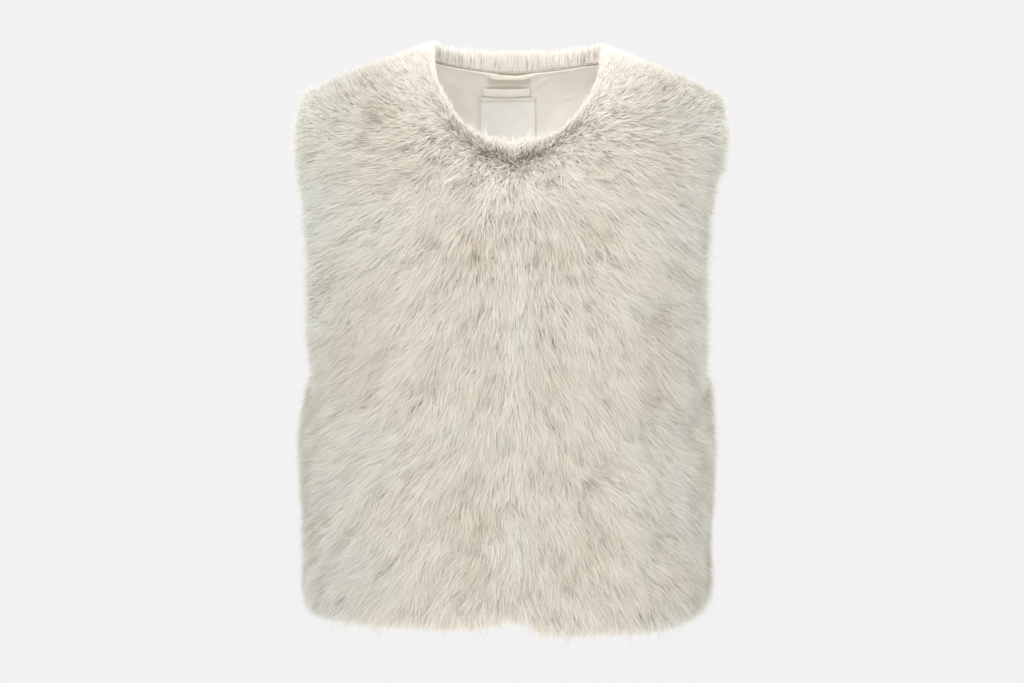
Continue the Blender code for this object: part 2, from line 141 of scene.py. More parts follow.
QUARTER_GIRTH = 0.250
Fold = namedtuple("Fold", "face girth z length width lean depth")
FOLDS = [Fold(*row) for row in (
    ("front", 0.175, -0.335, 0.065, 0.020, 62, 0.006),
    ("front", -0.185, -0.330, 0.050, 0.018, -64, 0.005),
    ("front", 0.185, -0.485, 0.075, 0.022, 14, 0.005),
    ("front", -0.170, -0.455, 0.080, 0.022, -12, 0.004),
    ("front", 0.085, -0.500, 0.090, 0.020, 5, 0.003),
    ("back", 0.110, -0.450, 0.120, 0.024, 6, 0.004),
    ("back", -0.130, -0.430, 0.110, 0.024, -8, 0.004),
    ("back", 0.010, -0.400, 0.140, 0.026, 2, 0.003),
)]
EDGE_POINTS = 400
ROWS_TO_UNDERARM = 11
ROWS_TO_FRONT_NECK = 20
ROWS = 28
HALF_COLUMNS = 15
SETTLING_PASSES = 12


def column(table, name):
    """One named column of a table, as an array."""
    return np.array([getattr(row, name) for row in table])


def ring_value(z, name):
    """A column of the ring table at the height z, eased between its rows."""
    heights = column(RINGS, "z")
    values = column(RINGS, name)
    steps = (-RING_BLEND, 0.0, RING_BLEND)
    return sum(np.interp(z + step, heights, values) for step in steps) / len(steps)


def half_width(x, z):
    """The ring's half width on the side of the garment that x is on."""
    return np.where(x < 0, ring_value(z, "right"), ring_value(z, "left"))


def shoulder_line(x):
    """The height of the line where front and back meet over the shoulder."""
    past = np.abs(x) - SHOULDER_START
    slope = np.where(x < 0, SHOULDER_SLOPE_RIGHT, SHOULDER_SLOPE_LEFT)
    return -slope * (past + np.sqrt(past**2 + SHOULDER_SOFTEN**2)) / 2


def ring_angle(across):
    """The angle round the ring, spaced so that equal steps of across are about equal steps of cloth."""
    spread = RING_POWER / 2
    near = np.minimum(np.abs(across), 1) ** spread
    far = np.maximum(1 - np.abs(across), 0) ** spread
    return np.pi / 2 * near / (near + far)


def cloth(face, across, down):
    """Points of the backing's inner face, without its folds."""
    rounding = 2 / RING_POWER
    angle = ring_angle(across)
    share = np.sin(angle) ** rounding
    rolled = np.clip(down / SHOULDER_ROLL, 0, 1) * np.pi / 2
    drop = np.maximum(down - SHOULDER_ROLL, 0) + SHOULDER_ROLL * (1 - np.cos(rolled) ** rounding)
    x = np.sign(across) * share * SHOULDER_TIP
    for _ in range(SETTLING_PASSES):
        z = shoulder_line(x) - drop
        x = np.sign(across) * share * half_width(across, z)
    depth = ring_value(z, face) * np.cos(angle) ** rounding * np.sin(rolled) ** rounding
    y = depth * (1 if face == "back" else -1)
    return np.stack([x, y, z], axis=-1)


def unit(vectors):
    """The vectors at length 1."""
    return vectors / np.maximum(np.linalg.norm(vectors, axis=-1, keepdims=True), 1e-9)


def outward(face, points):
    """Unit normals of the garment's surface, from the slope of the function that is zero on it."""

    def level(p):
        x, y, z = p[..., 0], p[..., 1], p[..., 2]
        side = 1 - (np.abs(x) / half_width(x, z)) ** RING_POWER
        rolled = np.maximum((z - shoulder_line(x)) / SHOULDER_ROLL + 1, 0)
        return (np.abs(y) / ring_value(z, face)) ** RING_POWER - side * (1 - rolled**RING_POWER)

    step = 1e-5
    axes = np.eye(3) * step
    return unit(np.stack([level(points + axis) - level(points - axis) for axis in axes], axis=-1))


def trough(fold, girth, z):
    """How deep one fold is at each place."""
    lean = np.radians(fold.lean)
    right, up = girth - fold.girth, z - fold.z
    along = up * np.cos(lean) + right * np.sin(lean)
    beside = right * np.cos(lean) - up * np.sin(lean)
    return fold.depth * np.exp(-((along / fold.length) ** 2) - (beside / fold.width) ** 2)


def backing(face, across, down):
    """The backing's inner face with its folds, and the normals there."""
    points = cloth(face, across, down)
    normals = outward(face, points)
    girth = across * QUARTER_GIRTH
    depth = sum(trough(fold, girth, points[..., 2]) for fold in FOLDS if fold.face == face)
    return points - normals * depth[..., None], normals


def down_at(across, x, z):
    """The distance below the shoulder line of a place at the height z."""
    drop = shoulder_line(x) - z
    rolled = np.arccos(np.clip(1 - drop / SHOULDER_ROLL, 0, 1) ** (RING_POWER / 2)) * 2 / np.pi
    return np.where(drop < SHOULDER_ROLL, rolled * SHOULDER_ROLL, drop)


def across_at(x, z):
    """The across coordinate of a place x from the centre line, at the height z."""
    angle = np.arcsin(np.clip(np.abs(x) / half_width(x, z), 0, 1) ** (RING_POWER / 2))
    share = (angle * 2 / np.pi) / np.maximum(1 - angle * 2 / np.pi, 1e-9)
    ratio = share ** (2 / RING_POWER)
    return np.sign(x) * ratio / (1 + ratio)


def place(x, z):
    """Both garment coordinates of a place given by x and z."""
    across = across_at(x, z)
    return np.stack([across, down_at(across, x, z)], axis=-1)


def even(face, path, count):
    """Count steps of equal length along a path of garment coordinates."""
    points = cloth(face, path[:, 0], path[:, 1])
    lengths = np.linalg.norm(np.diff(points, axis=0), axis=1)
    run = np.concatenate([[0], np.cumsum(lengths)])
    wanted = np.linspace(0, run[-1], count + 1)
    return np.stack([np.interp(wanted, run, path[:, k]) for k in range(2)], axis=-1)


def fine(start, end):
    """Closely spaced values for laying out a path."""
    return np.linspace(start, end, EDGE_POINTS)


def hem_path(face, start, end):
    """The hem from one across value to another."""
    across = fine(start, end)
    z = np.interp(across, column(HEM, "across"), column(HEM, face))
    x = cloth(face, across, shoulder_line(across * SHOULDER_TIP) - z)[:, 0]
    return np.stack([across, shoulder_line(x) - z], axis=-1)


def outer_edge(face, side):
    """The side seam from hem to underarm, then the armhole up to the shoulder seam."""
    underarm_x = side * ring_value(UNDERARM_Z, "left" if side > 0 else "right")
    underarm_down = shoulder_line(underarm_x) - UNDERARM_Z
    foot = hem_path(face, 0, side)[-1]
    seam = np.stack([fine(side, side), fine(foot[1], underarm_down)], axis=-1)
    height = fine(1, 0)
    bend = np.clip((height - ARMHOLE_STRAIGHT) / (1 - ARMHOLE_STRAIGHT), 0, 1)
    opening = (1 - bend**ARMHOLE_POWER) ** (1 / ARMHOLE_POWER)
    tip = place(side * SHOULDER_TIP, shoulder_line(side * SHOULDER_TIP))[0]
    armhole = np.stack([side + (tip - side) * opening, height * underarm_down], axis=-1)
    lower = even(face, seam, ROWS_TO_UNDERARM)
    upper = even(face, armhole, ROWS - ROWS_TO_UNDERARM)
    return np.concatenate([lower, upper[1:]])


def front_neckline(side):
    """From the centre front up to the high shoulder point."""
    turn = fine(0, np.pi / 2)
    rounding = 2 / NECK_FRONT_POWER
    x = side * NECK_HALF[side] * np.sin(turn) ** rounding
    z = shoulder_line(x) - NECK_FRONT_DROP * np.abs(np.cos(turn)) ** rounding
    return place(x, z)


def shoulder_seam(side):
    """From the high shoulder point to the shoulder tip."""
    x = side * fine(NECK_HALF[side], SHOULDER_TIP)
    return place(x, shoulder_line(x))


def filled(bottom, top, first, last):
    """A grid of garment coordinates between four edges; each inner point is blended from all four."""
    v, u = np.meshgrid(np.linspace(0, 1, len(first)), np.linspace(0, 1, len(bottom)), indexing="ij")
    v, u = v[..., None], u[..., None]
    grid = (1 - v) * bottom[None] + v * top[None] + (1 - u) * first[:, None] + u * last[:, None]
    low = (1 - u) * bottom[0] + u * bottom[-1]
    high = (1 - u) * top[0] + u * top[-1]
    return grid - (1 - v) * low - v * high


def front_grid(side):
    """Garment coordinates of one front, from its hem up and from the centre front outwards."""
    hem = even("front", hem_path("front", 0, side), HALF_COLUMNS)
    neck = even("front", front_neckline(side), ROWS - ROWS_TO_FRONT_NECK)
    opening = np.stack([fine(0, 0), fine(hem[0, 1], neck[0, 1])], axis=-1)
    first = np.concatenate([even("front", opening, ROWS_TO_FRONT_NECK), neck[1:]])
    shoulder = even("front", shoulder_seam(side), HALF_COLUMNS)
    return filled(hem, shoulder, first, outer_edge("front", side))


def between(grid, row, across):
    """The values of a grid at row and column numbers that may lie between its own."""
    i = np.clip(np.floor(row).astype(int), 0, grid.shape[0] - 2)
    j = np.clip(np.floor(across).astype(int), 0, grid.shape[1] - 2)
    v, u = (row - i)[..., None], (across - j)[..., None]
    low = grid[i, j] * (1 - u) + grid[i, j + 1] * u
    high = grid[i + 1, j] * (1 - u) + grid[i + 1, j + 1] * u
    return low * (1 - v) + high * v


def kept_apart(points, face, side):
    """Points pressed back to their own side of the seams, which all lie in the planes x = 0 and y = 0."""
    half = SEAM_GAP / 2
    points = points.copy()
    if face == "front":
        points[..., 1] = np.minimum(points[..., 1], -half)
        points[..., 0] = np.maximum(points[..., 0] * side, half) * side
    else:
        points[..., 1] = np.maximum(points[..., 1], half)
    return points


def choose(piece):
    """The piece selected alone and made active."""
    bpy.ops.object.select_all(action="DESELECT")
    piece.select_set(True)
    bpy.context.view_layer.objects.active = piece


def apply_last(piece):
    """Every modifier of a piece made part of its mesh."""
    choose(piece)
    for modifier in list(piece.modifiers):
        bpy.ops.object.modifier_apply(modifier=modifier.name)
    bpy.ops.object.shade_smooth()


def laid_cloth(name, rows, columns, shape, thick, finishes):
    """A thin cloth piece: a flat grid whose points shape() puts in place, given a wall outwards.

    Shape takes shares of the height and width, and returns points, normals and places on the cloth."""
    bpy.ops.object.select_all(action="DESELECT")
    bpy.ops.mesh.primitive_grid_add(x_subdivisions=columns, y_subdivisions=rows, size=1)
    piece = bpy.context.object
    piece.name = name
    flat = np.empty(len(piece.data.vertices) * 3)
    piece.data.vertices.foreach_get("co", flat)
    flat = flat.reshape(-1, 3)
    points, normals, on_cloth = shape(flat[:, 1] + 0.5, flat[:, 0] + 0.5)
    piece.data.vertices.foreach_set("co", points.ravel())
    corners = np.empty(len(piece.data.loops), int)
    piece.data.loops.foreach_get("vertex_index", corners)
    piece.data.uv_layers[0].name = "on_cloth"
    piece.data.uv_layers[0].data.foreach_set("uv", on_cloth[corners].ravel())
    piece.data.update()
    facing = np.mean([np.dot(f.normal, normals[f.vertices[0]]) for f in piece.data.polygons])
    if facing < 0:
        bpy.ops.object.mode_set(mode="EDIT")
        bpy.ops.mesh.select_all(action="SELECT")
        bpy.ops.mesh.flip_normals()
        bpy.ops.object.mode_set(mode="OBJECT")
    for finish in finishes:
        piece.data.materials.append(finish)
    wall = piece.modifiers.new("wall", "SOLIDIFY")
    wall.thickness = thick
    wall.offset = 1
    wall.use_even_offset = False
    wall.material_offset = len(finishes) - 1
    wall.material_offset_rim = len(finishes) - 1
    apply_last(piece)
    return piece


def panel_shape(face, side, grid):
    """The shape of a fur panel's backing, for laid_cloth."""

    def shape(v, u):
        places = between(grid, v * (grid.shape[0] - 1), u * (grid.shape[1] - 1))
        points, normals = backing(face, places[:, 0], places[:, 1])
        return kept_apart(points, face, side), normals, places * (QUARTER_GIRTH, 1)

    return shape


def new_finish(name):
    """A new material, a function that adds a node to it, and one that sets its shader's sockets."""
    finish = bpy.data.materials.new(name)
    finish.use_nodes = True
    tree = finish.node_tree
    shader = tree.nodes["Principled BSDF"]

    def node(kind, settings=None, **inputs):
        made = tree.nodes.new("ShaderNode" + kind)
        for key, value in (settings or {}).items():
            setattr(made, key, value)
        for key, value in inputs.items():
            socket = made.inputs[int(key[1:])] if key[0] == "_" else made.inputs[key.replace("_", " ")]
            if isinstance(value, bpy.types.NodeSocket):
                tree.links.new(value, socket)
            else:
                socket.default_value = value
        return made

    def surface(tint, raised, **values):
        tree.links.new(tint, shader.inputs["Base Color"])
        if raised:
            tree.links.new(raised.outputs[0], shader.inputs["Normal"])
        for key, value in values.items():
            shader.inputs[key.replace("_", " ")].default_value = value

    return finish, node, surface


def ramp(node, source, stops):
    """A colour ramp of (position, colour) stops."""
    made = node("ValToRGB", Fac=source)
    while len(made.color_ramp.elements) < len(stops):
        made.color_ramp.elements.new(1)
    for element, (position, colour) in zip(made.color_ramp.elements, stops):
        element.position = position
        element.color = (*colour, 1)
    return made.outputs["Color"]


def maths(node, operation, first, second=0.0):
    """The result of one sum on shader values."""
    return node("Math", {"operation": operation}, _0=first, _1=second).outputs[0]


def mixed(node, share, first, second, blend="MIX"):
    """Two shader colours blended by a share."""
    settings = {"data_type": "RGBA", "blend_type": blend}
    return node("Mix", settings, _0=share, _6=first, _7=second).outputs[2]


LINING_CREAM = (0.965, 0.930, 0.872)
LINING_SHADE = (0.890, 0.848, 0.780)
# Painted shade: where the lining's colour is darkened in the hollow above the hanger loop, and by how much.
HOLLOW_CENTRE_X = -0.0040
HOLLOW_HALF = 0.0215
HOLLOW_END = 0.0025
HOLLOW_TOP_Z = -0.0136
HOLLOW_DEEP_Z = -0.0200
HOLLOW_LOW_Z = -0.0275
HOLLOW_PAINTED_SHADE = (0.760, 0.750, 0.700, 1)
PLUSH_ROOT = (0.840, 0.800, 0.730)
PLUSH_TIP = (0.940, 0.905, 0.845)


def lining_finish():
    """Smooth close-woven lining cloth: fine ribs both ways, a soft shine, slight crumpling, and painted shade
    in the hollow above the hanger loop.
    """
    finish, node, surface = new_finish("lining_cloth")
    cloth_place = node("UVMap", {"uv_map": "on_cloth"}).outputs["UV"]
    across, up = {"bands_direction": "X"}, {"bands_direction": "Y"}
    warp = node("TexWave", across, Vector=cloth_place, Scale=330.0, Distortion=0.4, Detail=1.0)
    weft = node("TexWave", up, Vector=cloth_place, Scale=260.0, Distortion=0.6, Detail=1.0)
    crumple = node("TexNoise", Vector=cloth_place, Scale=26.0, Detail=3.0, Roughness=0.5, Distortion=0.8)
    weave = maths(node, "ADD", warp.outputs["Fac"], weft.outputs["Fac"])
    fine_relief = node("Bump", Strength=0.10, Distance=0.0002, Height=weave).outputs[0]
    crumpled = crumple.outputs["Fac"]
    raised = node("Bump", Strength=0.22, Distance=0.004, Height=crumpled, Normal=fine_relief)
    tint = ramp(node, crumpled, ((0.3, LINING_SHADE), (0.62, LINING_CREAM)))
    # Painted shade: the colour is darkened in the hollow between the bulge and the hanger loop.
    here = node("SeparateXYZ", Vector=node("TexCoord").outputs["Object"])
    eased = {"interpolation_type": "SMOOTHSTEP"}
    beside = maths(node, "ABSOLUTE", maths(node, "SUBTRACT", here.outputs["X"], HOLLOW_CENTRE_X))
    wide, narrow = HOLLOW_HALF + HOLLOW_END, HOLLOW_HALF - HOLLOW_END
    ends = node("MapRange", eased, Value=beside, From_Min=wide, From_Max=narrow)
    deep = node("MapRange", eased, Value=here.outputs["Z"], From_Min=HOLLOW_LOW_Z, From_Max=HOLLOW_DEEP_Z)
    under = maths(node, "LESS_THAN", here.outputs["Z"], HOLLOW_TOP_Z)
    hollow = maths(node, "MULTIPLY", ends.outputs[0], deep.outputs[0])
    hollow = maths(node, "MULTIPLY", hollow, under)
    shaded = mixed(node, hollow, tint, HOLLOW_PAINTED_SHADE, "MULTIPLY")
    surface(shaded, raised, Roughness=0.46, Specular_IOR_Level=0.35, Sheen_Weight=0.15)
    return finish


def plush_finish():
    """The dense short undercoat at the foot of the pile, over the knitted backing."""
    finish, node, surface = new_finish("plush_undercoat")
    here = node("TexCoord").outputs["Object"]
    tufts = node("TexNoise", Vector=here, Scale=420.0, Detail=4.0, Roughness=0.65)
    tint = ramp(node, tufts.outputs["Fac"], ((0.35, PLUSH_ROOT), (0.65, PLUSH_TIP)))
    raised = node("Bump", Strength=0.8, Distance=0.0012, Height=tufts.outputs["Fac"])
    surface(tint, raised, Roughness=0.95, Specular_IOR_Level=0.1, Sheen_Weight=0.3)
    return finish


lining_cloth = lining_finish()
plush_undercoat = plush_finish()

CLOTH_ROWS = 56
CLOTH_COLUMNS = 30
fronts = {}
for name, side in (("front_right", -1), ("front_left", 1)):
    grid = front_grid(side)
    shape = panel_shape("front", side, grid)
    both_faces = (plush_undercoat, lining_cloth)
    piece = laid_cloth(name + "_cloth", CLOTH_ROWS, CLOTH_COLUMNS, shape, BACKING_THICK, both_faces)
    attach(piece, "root")
    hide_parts(name)
    fronts[name] = (piece, side, grid)

# The back: one panel of the same faux fur in one piece from side seam to side seam. It carries its own
# lining, so its inner side is bare knitted backing.
BACK_NECK_COLUMNS = 14
NECK_BACK_DROP = 0.011
KNIT_BEIGE = (0.560, 0.505, 0.430)


def back_neckline():
    """From the wearer's right high shoulder point round to the left one."""
    turn = fine(-np.pi / 2, np.pi / 2)
    x = np.where(turn < 0, NECK_HALF[-1], NECK_HALF[1]) * np.sin(turn)
    return place(x, shoulder_line(x) - NECK_BACK_DROP * np.cos(turn) ** 2)


def back_panel_grid():
    """Garment coordinates of the back, from its hem up and from the wearer's right to the left."""
    hem = even("back", hem_path("back", -1, 1), 2 * HALF_COLUMNS)
    shoulder_columns = HALF_COLUMNS - BACK_NECK_COLUMNS // 2
    right = even("back", shoulder_seam(-1)[::-1], shoulder_columns)
    neck = even("back", back_neckline(), BACK_NECK_COLUMNS)
    left = even("back", shoulder_seam(1), shoulder_columns)
    top = np.concatenate([right, neck[1:], left[1:]])
    return filled(hem, top, outer_edge("back", -1), outer_edge("back", 1))


def knit_finish():
    """Knitted backing seen from its wrong side: rows of small loops."""
    finish, node, surface = new_finish("knitted_backing")
    cloth_place = node("UVMap", {"uv_map": "on_cloth"}).outputs["UV"]
    up = {"bands_direction": "Y"}
    courses = node("TexWave", up, Vector=cloth_place, Scale=110.0, Distortion=1.2, Detail=2.0)
    raised = node("Bump", Strength=0.4, Distance=0.0005, Height=courses.outputs["Fac"])
    shade = tuple(0.82 * value for value in KNIT_BEIGE)
    tint = ramp(node, courses.outputs["Fac"], ((0.2, shade), (0.8, KNIT_BEIGE)))
    surface(tint, raised, Roughness=0.9)
    return finish


back_grid = back_panel_grid()
both_faces = (plush_undercoat, knit_finish())
shape = panel_shape("back", 0, back_grid)
back_cloth = laid_cloth("back_cloth", CLOTH_ROWS, 2 * CLOTH_COLUMNS, shape, BACKING_THICK, both_faces)
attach(back_cloth, "root")
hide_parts("back")

# The back's lining: smooth woven cloth, cut like the back and sewn in along the neck, where its edge is
# turned to a narrow roll. It hangs free above the hem, and lies in soft creases round the hanger loop.
PLY_GAP = 0.0003
LINING_DEPTH = 0.0015
LINING_WALL = 0.0007
LINING_FIRST_ROW = 1
LINING_INSET = 0.06
LINING_ROWS = 110
LINING_COLUMNS = 84
FINE_AT_NECK = 0.12
FINE_IN_MIDDLE = 0.45
ROLL_BELOW_EDGE = 0.0030
ROLL_WIDTH = 0.0034
ROLL_RISE = 0.0007
GROOVE_BELOW_EDGE = 0.0086
GROOVE_WIDTH = 0.0022
GROOVE_DEPTH = 0.0005
BULGE_CENTRE_X = -0.0036
BULGE_HALF = 0.0215
BULGE_END = 0.0022
BULGE_FOOT_Z = -0.0134
BULGE_TURN = 0.0003
BULGE_CREST_Z = -0.0124
BULGE_FADE = 0.0012
BULGE_RISE = 0.0048

# Each crease is a soft ridge with a shallower trough beside it. Lean is in degrees from upright.
Crease = namedtuple("Crease", "x z lean length width rise")
CREASE_TROUGH = 0.30
CREASE_TROUGH_ASIDE = 1.7
CREASE_CLEAR_OF_EDGE = 0.006
CREASES = [Crease(*row) for row in (
    (0.0276, -0.0205, 55, 0.0100, 0.0022, 0.0016),
    (0.0292, -0.0478, -54, 0.0050, 0.0022, 0.0015),
    (0.0573, -0.0349, 84, 0.0060, 0.0020, 0.0012),
    (0.0742, -0.0185, 6, 0.0100, 0.0034, 0.0018),
    (0.0833, -0.0100, -27, 0.0070, 0.0034, 0.0020),
    (0.0480, -0.0600, 30, 0.0200, 0.0060, 0.0016),
    (-0.0450, -0.0450, -22, 0.0200, 0.0060, 0.0014),
    (-0.0620, -0.0200, -60, 0.0120, 0.0040, 0.0014),
    (-0.1200, -0.1500, 24, 0.0700, 0.0150, 0.0030),
    (0.0900, -0.1800, -16, 0.0900, 0.0170, 0.0032),
    (-0.0400, -0.2600, 6, 0.1200, 0.0190, 0.0034),
    (0.1400, -0.3400, -10, 0.1000, 0.0180, 0.0030),
    (0.0300, -0.4200, 4, 0.1100, 0.0200, 0.0036),
    (-0.1300, -0.4000, -5, 0.1100, 0.0180, 0.0032),
)]


def bell(distance, width):
    """A smooth hump: 1 at the middle, 0.37 one width away, and next to nothing beyond two."""
    return np.exp(-((distance / width) ** 2))


def creased(x, z):
    """How far the creases stand into the garment at each place."""
    total = np.zeros_like(x)
    for crease in CREASES:
        lean = np.radians(crease.lean)
        right, up = x - crease.x, z - crease.z
        along = (up * np.cos(lean) + right * np.sin(lean)) / crease.length
        beside = (right * np.cos(lean) - up * np.sin(lean)) / crease.width
        profile = bell(beside, 1) - CREASE_TROUGH * bell(beside - CREASE_TROUGH_ASIDE, 1)
        total = total + crease.rise * profile * bell(along, 1)
    return total


def bulged(x, z):
    """The lining stands out in a soft bulge above the hanger loop, with a hollow between the two."""
    ends = 1 / (1 + np.exp((np.abs(x - BULGE_CENTRE_X) - BULGE_HALF) / BULGE_END))
    foot = 1 / (1 + np.exp(-(z - BULGE_FOOT_Z) / BULGE_TURN))
    return BULGE_RISE * ends * foot * bell(np.maximum(z - BULGE_CREST_Z, 0), BULGE_FADE)


def lining_shape(v, u):
    """The lining's inner face, close to the back's inner side, for laid_cloth."""
    drop = 1 - v
    row = ROWS - (ROWS - LINING_FIRST_ROW) * (FINE_AT_NECK * drop + (1 - FINE_AT_NECK) * drop**4)
    aside = 2 * u - 1
    aside = FINE_IN_MIDDLE * aside + (1 - FINE_IN_MIDDLE) * aside**3
    across_row = HALF_COLUMNS + (HALF_COLUMNS - LINING_INSET) * aside
    places = between(back_grid, row, across_row)
    top = between(back_grid, np.full_like(row, ROWS), across_row)
    points, normals = backing("back", places[:, 0], places[:, 1])
    points = kept_apart(points, "back", 0)
    below = np.linalg.norm(points - backing("back", top[:, 0], top[:, 1])[0], axis=1)
    relief = ROLL_RISE * bell(below - ROLL_BELOW_EDGE, ROLL_WIDTH)
    relief = relief - GROOVE_DEPTH * bell(below - GROOVE_BELOW_EDGE, GROOVE_WIDTH)
    relief = relief + creased(points[:, 0], points[:, 2]) * np.clip(below / CREASE_CLEAR_OF_EDGE, 0, 1)
    relief = relief + bulged(points[:, 0], points[:, 2])
    points = points - normals * (PLY_GAP + LINING_DEPTH + relief)[:, None]
    return points, normals, places * (QUARTER_GIRTH, 1)


lining = laid_cloth("lining_cloth", LINING_ROWS, LINING_COLUMNS, lining_shape, LINING_WALL, (lining_cloth,))
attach(lining, "root")
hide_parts("back_lining")

# The hanger loop: a narrow tube of lining cloth pressed flat, sewn down at both ends above the label, and
# standing a little off the lining between them.
LOOP_CENTRE_X = -0.0067
LOOP_LENGTH = 0.050
LOOP_TOP_Z = -0.0270
LOOP_WIDTH = 0.0078
LOOP_THICK = 0.0008
LOOP_STAND_OFF = 0.0040
LOOP_FULLNESS = 0.7
LOOP_SAG = 0.0012
LOOP_ROUNDING = 0.0007
LOOP_ROWS = 8
LOOP_COLUMNS = 36
TACK_STITCHES = 3
TACK_LENGTH = 0.0017
TACK_INSET = 0.0008
TACK_LIFT = 0.0006
THREAD_THICK = 0.00050
THREAD_CREAM = (0.430, 0.405, 0.350)
STITCH_SIDES = 5
STITCH_PROFILE = ((0.12, 0.7), (0.5, 1.0), (0.88, 0.7))


def on_back(x, z, depth):
    """Places x and z on the back's inner side, moved level into the garment by a depth square to it."""
    places = place(x, z)
    points, normals = backing("back", places[..., 0], places[..., 1])
    points = points - np.stack([0 * x, depth / normals[..., 1], 0 * x], axis=-1)
    return points, normals


def loop_shape(v, u):
    """The hanger loop's inner face, for laid_cloth."""
    x = LOOP_CENTRE_X + LOOP_LENGTH * (u - 0.5)
    z = LOOP_TOP_Z - LOOP_WIDTH * (1 - v) - LOOP_SAG * np.sin(np.pi * u)
    lift = PLY_GAP + LOOP_STAND_OFF * np.sin(np.pi * np.clip(u, 0, 1)) ** LOOP_FULLNESS
    lift = lift - LOOP_ROUNDING * (2 * v - 1) ** 2
    points, normals = on_back(x, z, PLY_GAP + LINING_DEPTH + lift + LOOP_THICK)
    return points, normals, np.stack([x, z], axis=-1)


def thread_finish():
    """Matt twisted sewing thread."""
    finish, node, surface = new_finish("sewing_thread")
    here = node("TexCoord").outputs["Object"]
    twist = node("TexWave", {"bands_direction": "DIAGONAL"}, Vector=here, Scale=900.0, Distortion=0.5)
    shade = tuple(0.86 * value for value in THREAD_CREAM)
    tint = ramp(node, twist.outputs["Fac"], ((0.2, shade), (0.7, THREAD_CREAM)))
    raised = node("Bump", Strength=0.5, Distance=0.0001, Height=twist.outputs["Fac"])
    surface(tint, raised, Roughness=0.7, Sheen_Weight=0.2)
    return finish


def stitch_row(name, starts, ends, finish):
    """Stitches from starts to ends, each a small spindle of thread, joined to one mesh."""
    runs = unit(ends - starts)
    beside = unit(np.cross(runs, (0.0, 1.0, 0.0)))
    over = np.cross(runs, beside)
    turns = np.linspace(0, 2 * np.pi, STITCH_SIDES, endpoint=False)
    rings = [starts[:, None]]
    for along, share in STITCH_PROFILE:
        middle = starts + (ends - starts) * along
        turned = np.cos(turns)[None, :, None] * beside[:, None] + np.sin(turns)[None, :, None] * over[:, None]
        rings.append(middle[:, None] + turned * THREAD_THICK / 2 * share)
    rings.append(ends[:, None])
    points = np.concatenate(rings, axis=1)
    each = points.shape[1]
    faces = []
    for first in range(0, len(points) * each, each):
        for k in range(STITCH_SIDES):
            right = (k + 1) % STITCH_SIDES
            faces.append((first, first + 1 + right, first + 1 + k))
            for level in range(len(STITCH_PROFILE) - 1):
                low = first + 1 + level * STITCH_SIDES
                high = low + STITCH_SIDES
                faces.append((low + k, low + right, high + right, high + k))
            last = first + 1 + (len(STITCH_PROFILE) - 1) * STITCH_SIDES
            faces.append((last + k, last + right, first + each - 1))
    mesh = bpy.data.meshes.new(name)
    mesh.from_pydata(points.reshape(-1, 3).tolist(), [], faces)
    mesh.materials.append(finish)
    mesh.shade_smooth()
    piece = bpy.data.objects.new(name, mesh)
    bpy.context.scene.collection.objects.link(piece)
    choose(piece)
    bpy.ops.object.mode_set(mode="EDIT")
    bpy.ops.mesh.select_all(action="SELECT")
    bpy.ops.mesh.normals_make_consistent(inside=False)
    bpy.ops.object.mode_set(mode="OBJECT")
    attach(piece, "root")
    return piece


loop = laid_cloth("hanger_loop_band", LOOP_ROWS, LOOP_COLUMNS, loop_shape, LOOP_THICK, (lining_cloth,))
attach(loop, "root")
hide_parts("hanger_loop")

sewing_thread = thread_finish()
tack_x = np.repeat(LOOP_CENTRE_X + np.array((-0.5, 0.5)) * (LOOP_LENGTH - 2 * TACK_INSET), TACK_STITCHES)
tack_z = LOOP_TOP_Z - LOOP_WIDTH * np.tile((np.arange(TACK_STITCHES) + 0.5) / TACK_STITCHES, 2)
tack_depth = PLY_GAP + LINING_DEPTH + LOOP_THICK + TACK_LIFT
tack_starts = on_back(tack_x, tack_z + TACK_LENGTH / 2, tack_depth)[0]
tack_ends = on_back(tack_x, tack_z - TACK_LENGTH / 2, tack_depth)[0]
tacks = stitch_row("loop_tack_stitches", tack_starts, tack_ends, sewing_thread)

# The neck label: a blank patch of white satin under the loop, its top turned to a narrow double strip that
# is sewn down with a row of short stitches. Its lower part goes behind the fur of the fronts.
LABEL_CENTRE_X = -0.0052
LABEL_WIDTH = 0.057
LABEL_TOP_Z = -0.0362
LABEL_HEIGHT = 0.044
LABEL_THICK = 0.0006
LABEL_LIFT = 0.0006
LABEL_ROWS = 30
LABEL_COLUMNS = 26
STRIP_HEIGHT = 0.0046
STRIP_STEP = 0.0005
STRIP_EDGE = 0.0003
LABEL_WAVE = 0.0004
LABEL_WAVES_ACROSS = 210
LABEL_WAVES_UP = 130
LABEL_CURL = 0.0008
LABEL_FINE_AT_TOP = 0.4
LABEL_WHITE = (0.945, 0.945, 0.915)
LABEL_GREY = (0.900, 0.900, 0.868)
STRIP_BEIGE = (0.890, 0.872, 0.810)
LABEL_STITCHES = 18
LABEL_STITCH_LENGTH = 0.0019
LABEL_STITCH_LIFT = 0.3
LABEL_STITCH_DOWN = 0.8


def label_depth(x, z):
    """How deep the label's inner face lies at each place."""
    from_top = LABEL_TOP_Z - z
    doubled = STRIP_STEP / (1 + np.exp((from_top - STRIP_HEIGHT) / STRIP_EDGE))
    waves = LABEL_WAVE * np.sin(x * LABEL_WAVES_ACROSS + 0.6) * np.sin(z * LABEL_WAVES_UP + 1.0)
    corner = np.abs(x - LABEL_CENTRE_X) / (LABEL_WIDTH / 2)
    curl = LABEL_CURL * np.clip(from_top / LABEL_HEIGHT, 0, 1) ** 2 * corner**4
    return PLY_GAP + LINING_DEPTH + LABEL_LIFT + LABEL_THICK + doubled + waves + curl


def label_shape(v, u):
    """The neck label's inner face, for laid_cloth."""
    x = LABEL_CENTRE_X + LABEL_WIDTH * (u - 0.5)
    drop = 1 - v
    z = LABEL_TOP_Z - LABEL_HEIGHT * (LABEL_FINE_AT_TOP * drop + (1 - LABEL_FINE_AT_TOP) * drop**2)
    points, normals = on_back(x, z, label_depth(x, z))
    return points, normals, np.stack([x, z], axis=-1)


